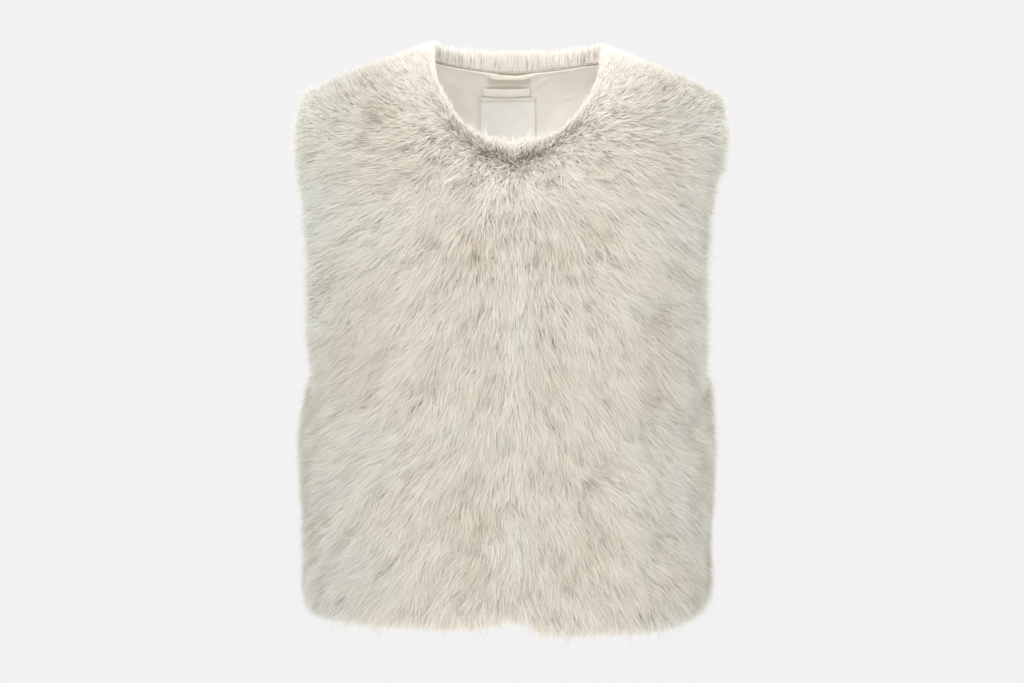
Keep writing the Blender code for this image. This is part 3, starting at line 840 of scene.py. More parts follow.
def label_finish():
    """White satin ribbon: very fine ribs across it, a soft gloss, faintly uneven in tone."""
    finish, node, surface = new_finish("label_satin")
    cloth_place = node("UVMap", {"uv_map": "on_cloth"}).outputs["UV"]
    up = {"bands_direction": "Y"}
    ribs = node("TexWave", up, Vector=cloth_place, Scale=520.0, Distortion=0.3, Detail=1.0)
    uneven = node("TexNoise", Vector=cloth_place, Scale=60.0, Detail=2.0, Roughness=0.5)
    tint = ramp(node, uneven.outputs["Fac"], ((0.32, LABEL_GREY), (0.62, LABEL_WHITE)))
    height = node("SeparateXYZ", Vector=cloth_place).outputs["Y"]
    in_strip = maths(node, "GREATER_THAN", height, LABEL_TOP_Z - STRIP_HEIGHT)
    toned = mixed(node, in_strip, tint, (*STRIP_BEIGE, 1))
    raised = node("Bump", Strength=0.12, Distance=0.0001, Height=ribs.outputs["Fac"])
    surface(toned, raised, Roughness=0.34, Specular_IOR_Level=0.5, Sheen_Weight=0.2)
    return finish


label = laid_cloth("neck_label_patch", LABEL_ROWS, LABEL_COLUMNS, label_shape, LABEL_THICK, (label_finish(),))
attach(label, "root")
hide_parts("neck_label")

stitch_x = LABEL_CENTRE_X + LABEL_WIDTH * ((np.arange(LABEL_STITCHES) + 0.5) / LABEL_STITCHES - 0.5)
stitch_z = np.full(LABEL_STITCHES, LABEL_TOP_Z - LABEL_STITCH_DOWN * STRIP_HEIGHT)
stitch_ends = []
for step in (-0.5, 0.5):
    x = stitch_x + step * LABEL_STITCH_LENGTH
    depth = label_depth(x, stitch_z) + LABEL_STITCH_LIFT * THREAD_THICK
    stitch_ends.append(on_back(x, stitch_z, depth)[0])
label_stitches = stitch_row("label_stitches", stitch_ends[0], stitch_ends[1], sewing_thread)

# The pile: long soft faux fur of fine ribbons that leave the backing steeply and bend over the way they
# are brushed, in small locks. It is short and upright over shoulders and neck, hangs past every free
# edge, falls straight at the centre front and fans out towards the sides.
PILE_BODY = 0.0235
PILE_SHOULDER = 0.0145
PILE_FULL_BELOW = 0.150
RUFF_RIGHT = 0.003
RUFF_LEFT = 0.010
RUFF_REACH = 0.050
RUFF_Z = -0.290
RUFF_SPREAD = 0.075
Parting = namedtuple("Parting", "face girth z reach depth")
PARTINGS = [Parting(*row) for row in (
    ("front", -0.066, -0.112, 0.020, 0.0050),
    ("front", 0.068, -0.100, 0.018, 0.0045),
    ("front", -0.068, -0.302, 0.022, 0.0050),
    ("front", 0.056, -0.396, 0.022, 0.0050),
    ("front", 0.112, -0.247, 0.026, 0.0050),
    ("front", 0.115, -0.340, 0.024, 0.0045),
    ("front", 0.122, -0.458, 0.024, 0.0060),
    ("front", -0.150, -0.220, 0.026, 0.0040),
    ("back", 0.070, -0.160, 0.024, 0.0045),
    ("back", -0.085, -0.250, 0.026, 0.0050),
    ("back", 0.120, -0.350, 0.024, 0.0050),
    ("back", -0.030, -0.440, 0.024, 0.0045),
)]
LOCK_WIDTH = 0.062
LOCK_LENGTH = 0.105
LOCK_TWIST = 0.35
LOCK_LEAN = 0.55
Wave = namedtuple("Wave", "beside along phase height")
WAVES = (
    Wave(beside=1.0, along=1.0, phase=0.2, height=0.0014),
    Wave(beside=1.0, along=-1.0, phase=3.0, height=0.0014),
    Wave(beside=1.7, along=-1.0, phase=2.1, height=0.0013),
)

# How far the fur turns outwards from straight down, in degrees, by height and by distance from the centre.
Brushed = namedtuple("Brushed", "z centre near middle side seam")
BRUSHED_FRONT = [Brushed(*row) for row in (
    (-0.560, 0, 2, 6, 12, 8),
    (-0.515, 0, 14, 24, 38, 25),
    (-0.430, 2, 22, 40, 52, 35),
    (-0.330, 2, 22, 40, 58, 38),
    (-0.240, 2, 24, 44, 70, 70),
    (-0.150, 4, 30, 56, 82, 85),
    (-0.090, 10, 48, 76, 92, 92),
    (-0.030, 60, 80, 96, 98, 95),
    (0.010, 90, 95, 105, 100, 95),
)]
BRUSHED_BACK = [Brushed(*row) for row in (
    (-0.560, 0, 0, 4, 8, 8),
    (-0.500, 0, 4, 14, 26, 25),
    (-0.330, 0, 5, 18, 34, 38),
    (-0.240, 0, 5, 20, 46, 62),
    (-0.100, 0, 8, 30, 60, 76),
    (0.010, 0, 10, 60, 80, 85),
)]
BRUSHED_GIRTHS = (0.004, 0.042, 0.110, 0.195, 0.245)

# How far it strays from that, in degrees, over patches of the given size.
Ruffle = namedtuple("Ruffle", "degrees size front_seed back_seed")
RUFFLES = (
    Ruffle(degrees=13, size=0.085, front_seed=3, back_seed=4),
    Ruffle(degrees=8, size=0.032, front_seed=5, back_seed=6),
)

OVERHANG_ARMHOLE = 0.019
OVERHANG_HEM = 0.018
EDGE_PULL = 1.2
EDGE_FADE = 0.014
NECK_FADE = 0.0120
NECK_CENTRE = 0.045
NECK_NOTCH = 0.028
NECK_FILLING = 0.58
NECK_RIM_LONGER = 0.6
NECK_SHORT_FROM = 0.012
NECK_SHORT_FADE = 0.030
NECK_UPRIGHT = 0.032
TIP_TRIM = 0.42
TIP_REACH = 0.030
TIP_DROP = 0.050
TIP_PAST = 0.012
PLUSH_UNTIL = 0.030
PLUSH_FADE = 0.095
PLUSH_WIDER = 0.9
# Painted light: shares by which the strands' colour is lightened toward cream, over the short shoulder pile
# and the upright pile round the neck.
PAINTED_LIGHT_SHOULDER = 0.12
PAINTED_LIGHT_FRONT = 0.92
PAINTED_LIGHT_BACK = 0.35

Fibre = namedtuple("Fibre", "levels widths width reach_low reach_high gather astray")
GUARD = Fibre(
    levels=(0, 0.56, 1),
    widths=(1, 0.86, 0),
    width=0.00052,
    reach_low=0.80,
    reach_high=1.12,
    gather=0.38,
    astray=0.10,
)
UNDER = Fibre(
    levels=(0, 1),
    widths=(1, 0),
    width=0.00086,
    reach_low=0.54,
    reach_high=1.00,
    gather=0.22,
    astray=0.04,
)
LOCK_RADIUS = 0.0045
ROOTED_AT = 0.8
LONGEST_BODY = 0.040
LONGEST_SHOULDER = 0.022
SEAM_CLEAR = 0.0004
SMALL_STEP = 0.002
PARTED_PUSH = 0.6
PARTED_WIDER = 1.1
SHARPEST_HOLLOW, SHARPEST_BEND = -6, 16
RIPPLE_WAVES = 9
RIPPLE_LOW, RIPPLE_HIGH = 0.6, 1.3
LEAST_TOWARD = 0.25


def ruff(across, z):
    """The share of extra fullness along the side seams at the waist."""
    beside_seam = bell((1 - np.abs(across)) * QUARTER_GIRTH, RUFF_REACH)
    return beside_seam * bell(z - RUFF_Z, RUFF_SPREAD)


def pile(face, across, down, z):
    """How far the tips of the pile stand off the backing."""
    fullness = np.clip(down / PILE_FULL_BELOW, 0, 1)
    height = PILE_SHOULDER + (PILE_BODY - PILE_SHOULDER) * fullness**2 * (3 - 2 * fullness)
    girth = across * QUARTER_GIRTH
    beside = (girth + z * LOCK_TWIST * np.sign(girth)) / LOCK_WIDTH
    along = (z + np.abs(girth) * LOCK_LEAN) / LOCK_LENGTH
    for wave in WAVES:
        turns = wave.beside * beside + wave.along * along
        height = height + wave.height * fullness * np.sin(2 * np.pi * turns + wave.phase)
    for parting in PARTINGS:
        if parting.face == face:
            apart = ((girth - parting.girth) ** 2 + (z - parting.z) ** 2) / parting.reach**2
            height = height - parting.depth * np.exp(-apart)
    return height + np.where(across < 0, RUFF_RIGHT, RUFF_LEFT) * ruff(across, z)


def ripple(seed, size, *places):
    """A smooth uneven value of about -1 to 1 that changes over the given size."""
    draw = np.random.default_rng(seed)
    total = 0
    for _ in range(RIPPLE_WAVES):
        heading = draw.normal(size=len(places))
        heading *= draw.uniform(RIPPLE_LOW, RIPPLE_HIGH) / np.linalg.norm(heading)
        phase = draw.uniform(0, 2 * np.pi)
        total = total + np.sin(2 * np.pi / size * sum(h * p for h, p in zip(heading, places)) + phase)
    return total / np.sqrt(RIPPLE_WAVES)


def brushed(face, girth, z):
    """The angle that the fur turns outwards, in radians."""
    table = BRUSHED_FRONT if face == "front" else BRUSHED_BACK
    heights = column(table, "z")
    parts = [np.interp(z, heights, column(table, name)) for name in Brushed._fields[1:]]
    away = np.abs(girth)
    angle = parts[0]
    for near, far, low, high in zip(BRUSHED_GIRTHS, BRUSHED_GIRTHS[1:], parts, parts[1:]):
        share = np.clip((away - near) / (far - near), 0, 1)
        angle = angle + (high - low) * share * share * (3 - 2 * share)
    return np.radians(angle)


def rooted(face, side, grid, free_edges, row, across_row):
    """Everything that a strand needs to know of the place where it stands."""

    def backing_at(row, across_row):
        across, down = between(grid, row, across_row).T
        down = np.maximum(down, SEAM_CLEAR)
        return *backing(face, across, down), across, down

    points, normals, across, down = backing_at(row, across_row)
    points = kept_apart(points, face, side)
    z = points[:, 2]
    girth = across * QUARTER_GIRTH
    downwards = cloth(face, across, down + SMALL_STEP) - cloth(face, across, down)
    downwards = unit(downwards - normals * np.sum(downwards * normals, axis=-1, keepdims=True))
    leftwards = np.cross(normals, downwards) * (1 if face == "front" else -1)
    turn = brushed(face, girth, z)
    turn = turn * np.where(girth < 0, -1, 1)
    for ruffle in RUFFLES:
        seed = ruffle.front_seed if face == "front" else ruffle.back_seed
        turn = turn + np.radians(ruffle.degrees) * ripple(seed, ruffle.size, girth, z)
    along = downwards * np.cos(turn)[:, None] + leftwards * np.sin(turn)[:, None]
    for parting in PARTINGS:
        if parting.face == face:
            right, up = girth - parting.girth, z - parting.z
            push = PARTED_PUSH * np.exp(-(right**2 + up**2) / (PARTED_WIDER * parting.reach) ** 2)
            length = np.maximum(np.hypot(right, up), SMALL_STEP)
            along = along + (push / length)[:, None] * (right[:, None] * leftwards - up[:, None] * downwards)
    along = unit(along)
    short = 1 - np.clip((down - PLUSH_UNTIL) / PLUSH_FADE, 0, 1)
    short = short * short * (3 - 2 * short)
    from_tip = (SHOULDER_TIP + TIP_PAST - np.abs(points[:, 0])) / TIP_REACH
    at_tip = np.exp(-(from_tip**2) - (down / TIP_DROP) ** 2)
    free, erect, tipped, trim = np.zeros((4, len(row)))
    allowed = np.ones(len(row))
    for edge in free_edges:
        edge_row, edge_across, inner_row, inner_across, held = edge(row, across_row)
        rim = backing_at(edge_row, edge_across)[0]
        inner = backing_at(inner_row, inner_across)[0]
        distance = np.linalg.norm(points - rim, axis=-1)
        away = unit(rim - inner)
        pull = held * bell(distance, NECK_FADE if edge.neck else EDGE_FADE)
        if edge.neck:
            erect = np.maximum(erect, held * bell(distance, NECK_UPRIGHT))
            centred = bell(points[:, 0], NECK_CENTRE)
            tipped = np.maximum(tipped, pull * (edge.pull + (1 - edge.pull) * centred))
            lower = np.clip((down - NECK_SHORT_FROM) / NECK_SHORT_FADE, 0, 1) if face == "front" else 1
            shortened = bell(distance, NECK_UPRIGHT) - NECK_RIM_LONGER * pull
            filling = NECK_FILLING * pull * bell(points[:, 0], NECK_NOTCH)
            trim = trim + edge.trim * shortened * held * lower - filling
            continue
        along = unit(along + away * (pull * edge.pull)[:, None])
        toward = np.clip(np.sum(along * away, axis=-1), LEAST_TOWARD, 1)
        fuller = np.where(across < 0, RUFF_RIGHT, RUFF_LEFT) * ruff(across, z)
        overhang = edge.overhang * (1 - TIP_TRIM * at_tip) + fuller
        allowed = np.where(held > 0.5, np.minimum(allowed, (distance + overhang) / toward), allowed)
        free = np.maximum(free, pull)
    height = pile(face, across, down, z) * (1 - trim) * (1 - TIP_TRIM * at_tip)
    ahead = points + along * 2 * SMALL_STEP
    bend = np.sum((outward(face, ahead) - normals) * along, axis=-1) / (2 * SMALL_STEP)
    return {
        "points": points, "normals": normals, "along": along, "height": height, "side": across,
        "short": short, "free": free, "erect": erect, "tipped": tipped, "allowed": allowed,
        "ruff": ruff(across, z), "bend": np.clip(bend, SHARPEST_HOLLOW, SHARPEST_BEND),
    }


LEAST_SWING = 0.02
LEAST_RISE = 0.12
LEAST_CARRY = 0.3
ALMOST_FLAT = 0.05


def strand_lines(root, levels, reach, start, end, curl):
    """The line of each strand, as points at the given levels, and the surface's upright at each."""
    foot = BACKING_THICK * ROOTED_AT
    height = root["height"] * reach - foot
    swing = end - start
    swing = np.where(np.abs(swing) < LEAST_SWING, -LEAST_SWING, swing)
    rise = (np.cos(start) - np.cos(end)) / swing
    length = height / np.maximum(rise, LEAST_RISE)
    carry = (np.sin(end) - np.sin(start)) / swing
    length = np.minimum(length, root["allowed"] * reach / np.maximum(carry, LEAST_CARRY))
    length = np.minimum(length, LONGEST_BODY + (LONGEST_SHOULDER - LONGEST_BODY) * root["short"])
    aside = np.cross(root["normals"], root["along"])
    flat = np.abs(root["bend"]) < ALMOST_FLAT
    bend = np.where(flat, ALMOST_FLAT, root["bend"])
    lines, uprights = [], []
    for s in levels:
        now = start + swing * s
        run = length * (np.sin(now) - np.sin(start)) / swing
        lift = foot + length * (np.cos(start) - np.cos(now)) / swing
        turned = root["bend"] * run
        forward = np.where(flat, run, np.sin(turned) / bend)
        sunk = np.where(flat, 0, (1 - np.cos(turned)) / bend)
        upright = root["normals"] * np.cos(turned)[:, None] + root["along"] * np.sin(turned)[:, None]
        line = root["points"] + root["along"] * forward[:, None] - root["normals"] * sunk[:, None]
        line = line + upright * lift[:, None] + aside * (curl * length * s * s)[:, None]
        lines.append(line)
        uprights.append(upright)
    return np.stack(lines, 1), np.stack(uprights, 1)


# How strands lean at their foot and their tip, in degrees from flat on the cloth: on the body, how much more
# on the shoulders, what they come to around the neck, and how much further back at the neck's very edge.
Lean = namedtuple("Lean", "body shoulder around_neck at_rim")
FOOT_LEAN = Lean(body=66, shoulder=12, around_neck=74, at_rim=32)
TIP_LEAN = Lean(body=18, shoulder=42, around_neck=36, at_rim=70)
RUFF_UPRIGHT = 24
RUFF_UPRIGHT_RIGHT = 0.5


def leans(root):
    """The angles at which strands leave the backing and end, in degrees, before chance."""
    short, erect, tipped = root["short"], root["erect"], root["tipped"]
    start = FOOT_LEAN.body + FOOT_LEAN.shoulder * short
    start = start + (FOOT_LEAN.around_neck - start) * erect + FOOT_LEAN.at_rim * tipped
    fuller = RUFF_UPRIGHT * root["ruff"] * np.where(root["side"] < 0, RUFF_UPRIGHT_RIGHT, 1)
    end = TIP_LEAN.body + TIP_LEAN.shoulder * short + fuller
    end = end + (TIP_LEAN.around_neck - end) * erect + TIP_LEAN.at_rim * tipped
    return start, end


# Chance, in degrees: how far a strand turns aside when it goes astray, less so around the neck, and when it
# keeps to its lock, more so in the plush; how far whole locks turn and tilt; how far foot and tip waver; how
# far down over a free edge the foot may fall; and the least curve from foot to tip (for locks in radians).
TURN_ASTRAY, TURN_STEADIED = 38, 20
TURN_IN_LOCK, TURN_IN_PLUSH = 12, 12
LOCK_TURN, LOCK_TILT = 8, 7
FOOT_WAVER, TIP_WAVER, TIP_ASTRAY = 6, 7, 14
EDGE_FALL, EDGE_FALL_MIDDLE = 62, 30
LEAST_CURVE = 4
LEAST_CURVE_MIDDLE = 0.07

# Shares: how free a strand is to bend down at an edge and how low its tip then goes, how strand and lock
# lengths differ, how strands curl aside, and how strongly they gather to the middle line of their lock.
FREE_FROM, FREE_TIP = 0.3, 0.6
LOCK_LENGTH_CHANCE = 0.07
SHORTEST, LONGEST = 0.3, 1.18
LONGER_IN_PLUSH = 0.30
CURL, LOCK_CURL = 0.10, 0.08
MIDDLE_REACH, MIDDLE_REACH_PLUSH = 0.95, 0.28
PLUSH_STEADIES_LOCK, TIP_TILT = 0.6, 0.6
PLUSH_LOOSENS = 0.85
ASTRAY_GATHERS = 0.1
GATHER_LOW, GATHER_HIGH = 0.6, 1.15
GATHER_POWER = 1.6
TONE_OF_LOCK = 0.28


def grown(face, side, grid, free_edges, fibre, locks, per_lock, seed):
    """Strands of one kind over a panel: lines, uprights, a random value, plushness and a share of painted
    light.
    """
    draw = np.random.default_rng(seed)
    rows, columns = grid.shape[0] - 1, grid.shape[1] - 1
    points, _ = backing(face, grid[..., 0], grid[..., 1])
    wide = np.linalg.norm(points[:, 1:] - points[:, :-1], axis=-1)
    tall = np.linalg.norm(points[1:] - points[:-1], axis=-1)
    wide = (wide[1:] + wide[:-1]) / 2
    tall = (tall[:, 1:] + tall[:, :-1]) / 2
    area = np.cumsum((wide * tall).ravel())
    picks = (np.arange(locks) + draw.uniform(size=locks)) / locks * area[-1]
    cell = np.minimum(np.searchsorted(area, picks), rows * columns - 1)
    lock_row = cell // columns + draw.uniform(size=locks)
    lock_across = cell % columns + draw.uniform(size=locks)
    for edge in free_edges:
        row_low, row_high, across_low, across_high = edge.band
        more = int(edge.rim_share * locks)
        lock_row = np.append(lock_row, draw.uniform(row_low, row_high, more))
        lock_across = np.append(lock_across, draw.uniform(across_low, across_high, more))
    cell = np.floor(lock_row).astype(int) * columns + np.floor(lock_across).astype(int)
    locks = len(lock_row)
    lock_value = draw.uniform(size=locks)
    lock_root = rooted(face, side, grid, free_edges, lock_row, lock_across)
    lock_jitter = draw.normal(size=(locks, 3))

    count = locks * per_lock
    lock = np.repeat(np.arange(locks), per_lock)
    offset = np.sqrt(draw.uniform(size=count)) * LOCK_RADIUS
    around = draw.uniform(0, 2 * np.pi, count)
    row = lock_row[lock] + offset * np.sin(around) / tall.ravel()[cell][lock]
    across_row = lock_across[lock] + offset * np.cos(around) / wide.ravel()[cell][lock]
    row = np.clip(row, 0, rows)
    across_row = np.clip(across_row, 0, columns)
    root = rooted(face, side, grid, free_edges, row, across_row)
    jitter = draw.normal(size=(count, 3))
    astray = draw.uniform(size=count) < fibre.astray
    plush = np.maximum(root["short"], root["erect"])
    loose = TURN_ASTRAY - TURN_STEADIED * root["erect"]
    spread = np.where(astray, loose, TURN_IN_LOCK) + TURN_IN_PLUSH * plush
    turn = np.radians(spread * jitter[:, 0] + LOCK_TURN * lock_jitter[lock, 0])
    aside = np.cross(root["normals"], root["along"])
    root["along"] = unit(root["along"] * np.cos(turn)[:, None] + aside * np.sin(turn)[:, None])
    start, end = leans(root)
    wobble = draw.normal(size=(count, 2))
    start = start + FOOT_WAVER * wobble[:, 0] - root["free"] * draw.uniform(0, EDGE_FALL, count)
    end = np.where(root["free"] > FREE_FROM, end * FREE_TIP, end) + TIP_WAVER * wobble[:, 1]
    start, end = np.radians(start), np.radians(np.minimum(end, start - LEAST_CURVE))
    lock_lean = np.radians(LOCK_TILT) * lock_jitter[lock, 1] * (1 - PLUSH_STEADIES_LOCK * plush)
    start, end = start + lock_lean, end + lock_lean * TIP_TILT
    end = end + np.where(astray, np.radians(np.abs(TIP_ASTRAY * jitter[:, 1])), 0)
    reach = draw.uniform(fibre.reach_low, fibre.reach_high, count)
    reach = reach * (1 + LOCK_LENGTH_CHANCE * lock_jitter[lock, 2])
    reach = np.clip(reach, SHORTEST, LONGEST) * (1 + LONGER_IN_PLUSH * root["short"])
    curl = CURL * jitter[:, 2] + LOCK_CURL * lock_jitter[lock, 0]
    lines, uprights = strand_lines(root, fibre.levels, reach, start, end, curl)

    middle_start, middle_end = (np.radians(angle) for angle in leans(lock_root))
    middle_start = middle_start + np.radians(LOCK_TILT) * lock_jitter[:, 1]
    middle_start = middle_start - np.radians(EDGE_FALL_MIDDLE) * lock_root["free"]
    middle_end = np.minimum(middle_end, middle_start - LEAST_CURVE_MIDDLE)
    middle_reach = MIDDLE_REACH + MIDDLE_REACH_PLUSH * lock_root["short"]
    middle_curl = LOCK_CURL * lock_jitter[:, 0]
    heart, _ = strand_lines(lock_root, fibre.levels, middle_reach, middle_start, middle_end, middle_curl)
    gather = fibre.gather * (1 - PLUSH_LOOSENS * plush) * np.where(astray, ASTRAY_GATHERS, 1)
    gather = gather * draw.uniform(GATHER_LOW, GATHER_HIGH, count)
    for k, s in enumerate(fibre.levels):
        lines[:, k] += (heart[lock, k] - lines[:, k]) * (gather * s**GATHER_POWER)[:, None]
    value = TONE_OF_LOCK * lock_value[lock] + (1 - TONE_OF_LOCK) * draw.uniform(size=count)
    # Painted light: strands in the short and the upright pile get a share of lightened colour.
    pale = PAINTED_LIGHT_SHOULDER * root["short"] + (PAINTED_LIGHT_FRONT if face == "front" else PAINTED_LIGHT_BACK) * root["erect"]
    return lines, uprights, value, plush, np.minimum(pale, 1), draw


RIBBON_ROLL = 38
THINNEST, WIDEST = 0.7, 1.25


def fur_piece(name, face_strands, fibre, finish, wider=1.0):
    """Strands joined to one mesh of thin ribbons, wide at the root and pointed at the tip."""
    lines, uprights, value, plush, pale, draw = face_strands
    count, levels = lines.shape[:2]
    runs = unit(np.gradient(lines, axis=1))
    beside = unit(np.cross(runs, uprights))
    facing = np.cross(beside, runs)
    roll = np.radians(draw.uniform(-RIBBON_ROLL, RIBBON_ROLL, count))[:, None, None]
    beside = beside * np.cos(roll) + facing * np.sin(roll)
    breadth = np.array(fibre.widths)[None, :, None] * fibre.width * wider / 2
    breadth = breadth * (draw.uniform(THINNEST, WIDEST, count) * (1 + PLUSH_WIDER * plush))[:, None, None]
    left = lines - beside * breadth
    right = lines + beside * breadth
    pairs = np.stack([left[:, :-1], right[:, :-1]], axis=2).reshape(count, -1, 3)
    points = np.concatenate([pairs, lines[:, -1:]], axis=1)
    per_strand = points.shape[1]
    corners = []
    for k in range(levels - 2):
        low, high = 2 * k, 2 * k + 2
        corners += [(low, low + 1, high + 1), (low, high + 1, high)]
    corners.append((2 * levels - 4, 2 * levels - 3, 2 * levels - 2))
    corners = np.array(corners)
    faces = (np.arange(count)[:, None, None] * per_strand + corners[None]).reshape(-1, 3)
    along = np.append(np.repeat(fibre.levels[:-1], 2), 1.0)
    uv = np.stack(np.broadcast_arrays(value[:, None, None], along[corners][None]), axis=-1)
    mesh = bpy.data.meshes.new(name)
    mesh.vertices.add(count * per_strand)
    mesh.vertices.foreach_set("co", points.astype(np.float32).ravel())
    mesh.loops.add(faces.size)
    mesh.loops.foreach_set("vertex_index", faces.astype(np.int32).ravel())
    mesh.polygons.add(len(faces))
    mesh.polygons.foreach_set("loop_start", np.arange(0, faces.size, 3, dtype=np.int32))
    mesh.uv_layers.new(name="strand")
    mesh.uv_layers["strand"].data.foreach_set("uv", uv.astype(np.float32).ravel())
    # The share of painted light goes onto the mesh for the finish.
    mesh.attributes.new("pale", "FLOAT", "POINT")
    mesh.attributes["pale"].data.foreach_set("value", np.repeat(pale, per_strand).astype(np.float32))
    mesh.update(calc_edges=True)
    mesh.shade_smooth()
    mesh.materials.append(finish)
    piece = bpy.data.objects.new(name, mesh)
    bpy.context.scene.collection.objects.link(piece)
    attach(piece, "root")
    return piece


# In rows or columns of a panel's grid: the band at an edge that gets extra locks, and how its hold fades.
RIM_BAND = 0.35
NECK_RIM_BAND = 1.75
HOLD_FADE = 1.5


def free_edge(kind, columns, low=0, high=0, rim_share=0.03, pull=EDGE_PULL, trim=0.0):
    """A free edge of a panel: a function that gives its nearest place, one inside that, and its hold."""

    def edge(row, across_row):
        if kind == "hem":
            at = (np.zeros_like(row), across_row, np.ones_like(row), across_row)
            return *at, np.ones(len(row))
        if kind == "top":
            at = (np.full_like(row, ROWS), across_row, np.full_like(row, ROWS - 1), across_row)
            return *at, np.clip(HOLD_FADE - np.maximum(low - across_row, across_row - high), 0, 1)
        if kind == "neck":
            near = np.maximum(row, low)
            return near, np.zeros_like(row), near, np.ones_like(row), np.ones(len(row))
        edge_column, inner_column = (0, 1) if kind == "first" else (columns, columns - 1)
        at = (row, np.full_like(row, edge_column), row, np.full_like(row, inner_column))
        return *at, np.clip((row - low) / HOLD_FADE + 0.5, 0, 1)

    edge.neck = kind in ("top", "neck")
    edge.overhang = OVERHANG_HEM if kind == "hem" else OVERHANG_ARMHOLE
    edge.pull = pull
    edge.rim_share = rim_share
    edge.trim = trim
    last_row, last_column = ROWS - 1e-6, columns - 1e-6
    edge.band = {
        "hem": (0, RIM_BAND, 0, last_column),
        "top": (ROWS - RIM_BAND, last_row, low, high),
        "neck": (low - 1, last_row, 0, NECK_RIM_BAND),
        "first": (low, last_row, 0, RIM_BAND),
        "last": (low, last_row, columns - RIM_BAND, last_column),
    }[kind]
    return edge


HAIR_TONES = (
    (0.08, (0.760, 0.710, 0.635)),
    (0.35, (0.890, 0.855, 0.800)),
    (0.65, (0.930, 0.905, 0.862)),
    (0.92, (0.965, 0.955, 0.930)),
)
ROOT_TO_TIP = ((0.0, (0.86, 0.84, 0.80)), (0.45, (0.96, 0.95, 0.94)), (1.0, (1.0, 1.0, 1.0)))
WARM_AND_COOL = ((0.32, (0.965, 0.952, 0.925)), (0.48, (0.995, 0.990, 0.980)), (0.66, (0.982, 0.995, 0.990)))
PATCH_SCALE = 13.0
# Painted shade: the fur's colour is darkened and cooled toward the sides.
SIDE_PAINTED_SHADE = (0.900, 0.925, 0.925, 1)
SIDE_FROM, SIDE_FULL = 0.10, 0.21
# Painted light: a lighter strip down the centre front, below the neck.
MIDDLE_PAINTED_LIGHT = (0.08, 0.13, 0.12, 1)
MIDDLE_FROM, MIDDLE_FULL = 0.028, 0.002
MIDDLE_FROM_Z, MIDDLE_FULL_Z = -0.095, -0.135
# Painted light: the cream that the upright pile round the neck is lightened toward.
NECK_PAINTED_LIGHT = (0.975, 0.950, 0.908, 1)
SEE_THROUGH = 0.42


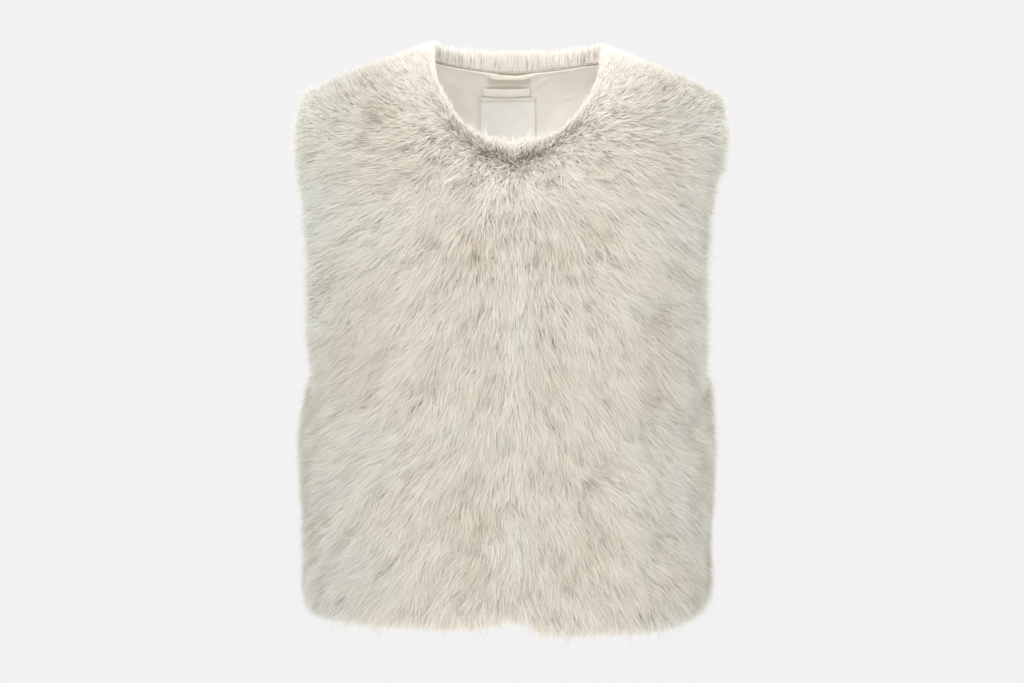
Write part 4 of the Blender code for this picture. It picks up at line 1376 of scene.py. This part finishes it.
def fur_finish():
    """Pale modacrylic fibre: darker at the root, lighter at the tip, warm cream with beige and grey hairs;
    painted shade at the sides, painted light down the centre front and round the neck.
    """
    finish, node, surface = new_finish("fur_pile")
    tree = finish.node_tree
    strand = node("SeparateXYZ", Vector=node("UVMap", {"uv_map": "strand"}).outputs["UV"])
    tone = ramp(node, strand.outputs["X"], HAIR_TONES)
    depth = ramp(node, strand.outputs["Y"], ROOT_TO_TIP)
    shaded = mixed(node, 1.0, tone, depth, "MULTIPLY")
    place_on = node("TexCoord").outputs["Object"]
    here = node("SeparateXYZ", Vector=place_on)
    aside = maths(node, "ABSOLUTE", here.outputs["X"])
    # Painted shade toward the sides.
    painted_side_shade = node("MapRange", Value=aside, From_Min=SIDE_FROM, From_Max=SIDE_FULL)
    sides = mixed(node, painted_side_shade.outputs[0], shaded, SIDE_PAINTED_SHADE, "MULTIPLY")
    drift = node("TexNoise", Vector=place_on, Scale=PATCH_SCALE, Detail=2.0, Roughness=0.55)
    patches = ramp(node, drift.outputs["Fac"], WARM_AND_COOL)
    uneven = mixed(node, 1.0, sides, patches, "MULTIPLY")
    # Painted light down the centre front.
    middle = node("MapRange", Value=aside, From_Min=MIDDLE_FROM, From_Max=MIDDLE_FULL)
    low = node("MapRange", Value=here.outputs["Z"], From_Min=MIDDLE_FROM_Z, From_Max=MIDDLE_FULL_Z)
    strip = maths(node, "MULTIPLY", middle.outputs[0], low.outputs[0])
    lit = mixed(node, strip, uneven, MIDDLE_PAINTED_LIGHT, "SCREEN")
    # Painted light: the upright pile round the neck is mixed toward cream.
    pale = node("Attribute", {"attribute_name": "pale"}).outputs["Fac"]
    tinted = mixed(node, pale, lit, NECK_PAINTED_LIGHT)
    surface(tinted, None, Roughness=0.62, Specular_IOR_Level=0.25)
    through = node("BsdfTranslucent", Color=tinted)
    facing = tree.nodes["Principled BSDF"].outputs[0]
    both = node("MixShader", Fac=SEE_THROUGH, _1=facing, _2=through.outputs[0])
    tree.links.new(both.outputs[0], tree.nodes["Material Output"].inputs["Surface"])
    return finish


fur_pile = fur_finish()
share = 1.0
FRONT_LOCKS = 4580
BACK_LOCKS = 5500
GUARD_A_LOCK = 9
UNDER_A_LOCK = 33
BACK_UNDER_A_LOCK = 19
FRONT_SEED, BACK_SEED = 20, 60
BACK_HAIR_WIDER = 1.25
for order, (name, (piece, side, grid)) in enumerate(fronts.items()):
    edges = (
        free_edge("hem", HALF_COLUMNS),
        free_edge("neck", HALF_COLUMNS, ROWS_TO_FRONT_NECK, rim_share=0.075, pull=0.45, trim=0.42),
        free_edge("last", HALF_COLUMNS, ROWS_TO_UNDERARM, rim_share=0.035),
    )
    made = []
    for kind, fibre, each in (("guard_hair", GUARD, GUARD_A_LOCK), ("under_fur", UNDER, UNDER_A_LOCK)):
        seed = FRONT_SEED + 10 * order + len(made)
        strands = grown("front", side, grid, edges, fibre, int(FRONT_LOCKS * share), each, seed)
        made.append(fur_piece(name + "_" + kind, strands, fibre, fur_pile))

BACK_COLUMNS = 2 * HALF_COLUMNS
BACK_NECK_FROM = HALF_COLUMNS - BACK_NECK_COLUMNS // 2
BACK_NECK_TO = HALF_COLUMNS + BACK_NECK_COLUMNS // 2
back_edges = (
    free_edge("hem", BACK_COLUMNS),
    free_edge("top", BACK_COLUMNS, BACK_NECK_FROM, BACK_NECK_TO, rim_share=0.050, pull=0.6, trim=-0.20),
    free_edge("first", BACK_COLUMNS, ROWS_TO_UNDERARM, rim_share=0.025),
    free_edge("last", BACK_COLUMNS, ROWS_TO_UNDERARM, rim_share=0.025),
)
back_fur = []
for kind, fibre, each in (("guard_hair", GUARD, GUARD_A_LOCK), ("under_fur", UNDER, BACK_UNDER_A_LOCK)):
    seed = BACK_SEED + len(back_fur)
    strands = grown("back", 0, back_grid, back_edges, fibre, int(BACK_LOCKS * share), each, seed)
    back_fur.append(fur_piece("back_" + kind, strands, fibre, fur_pile, BACK_HAIR_WIDER))
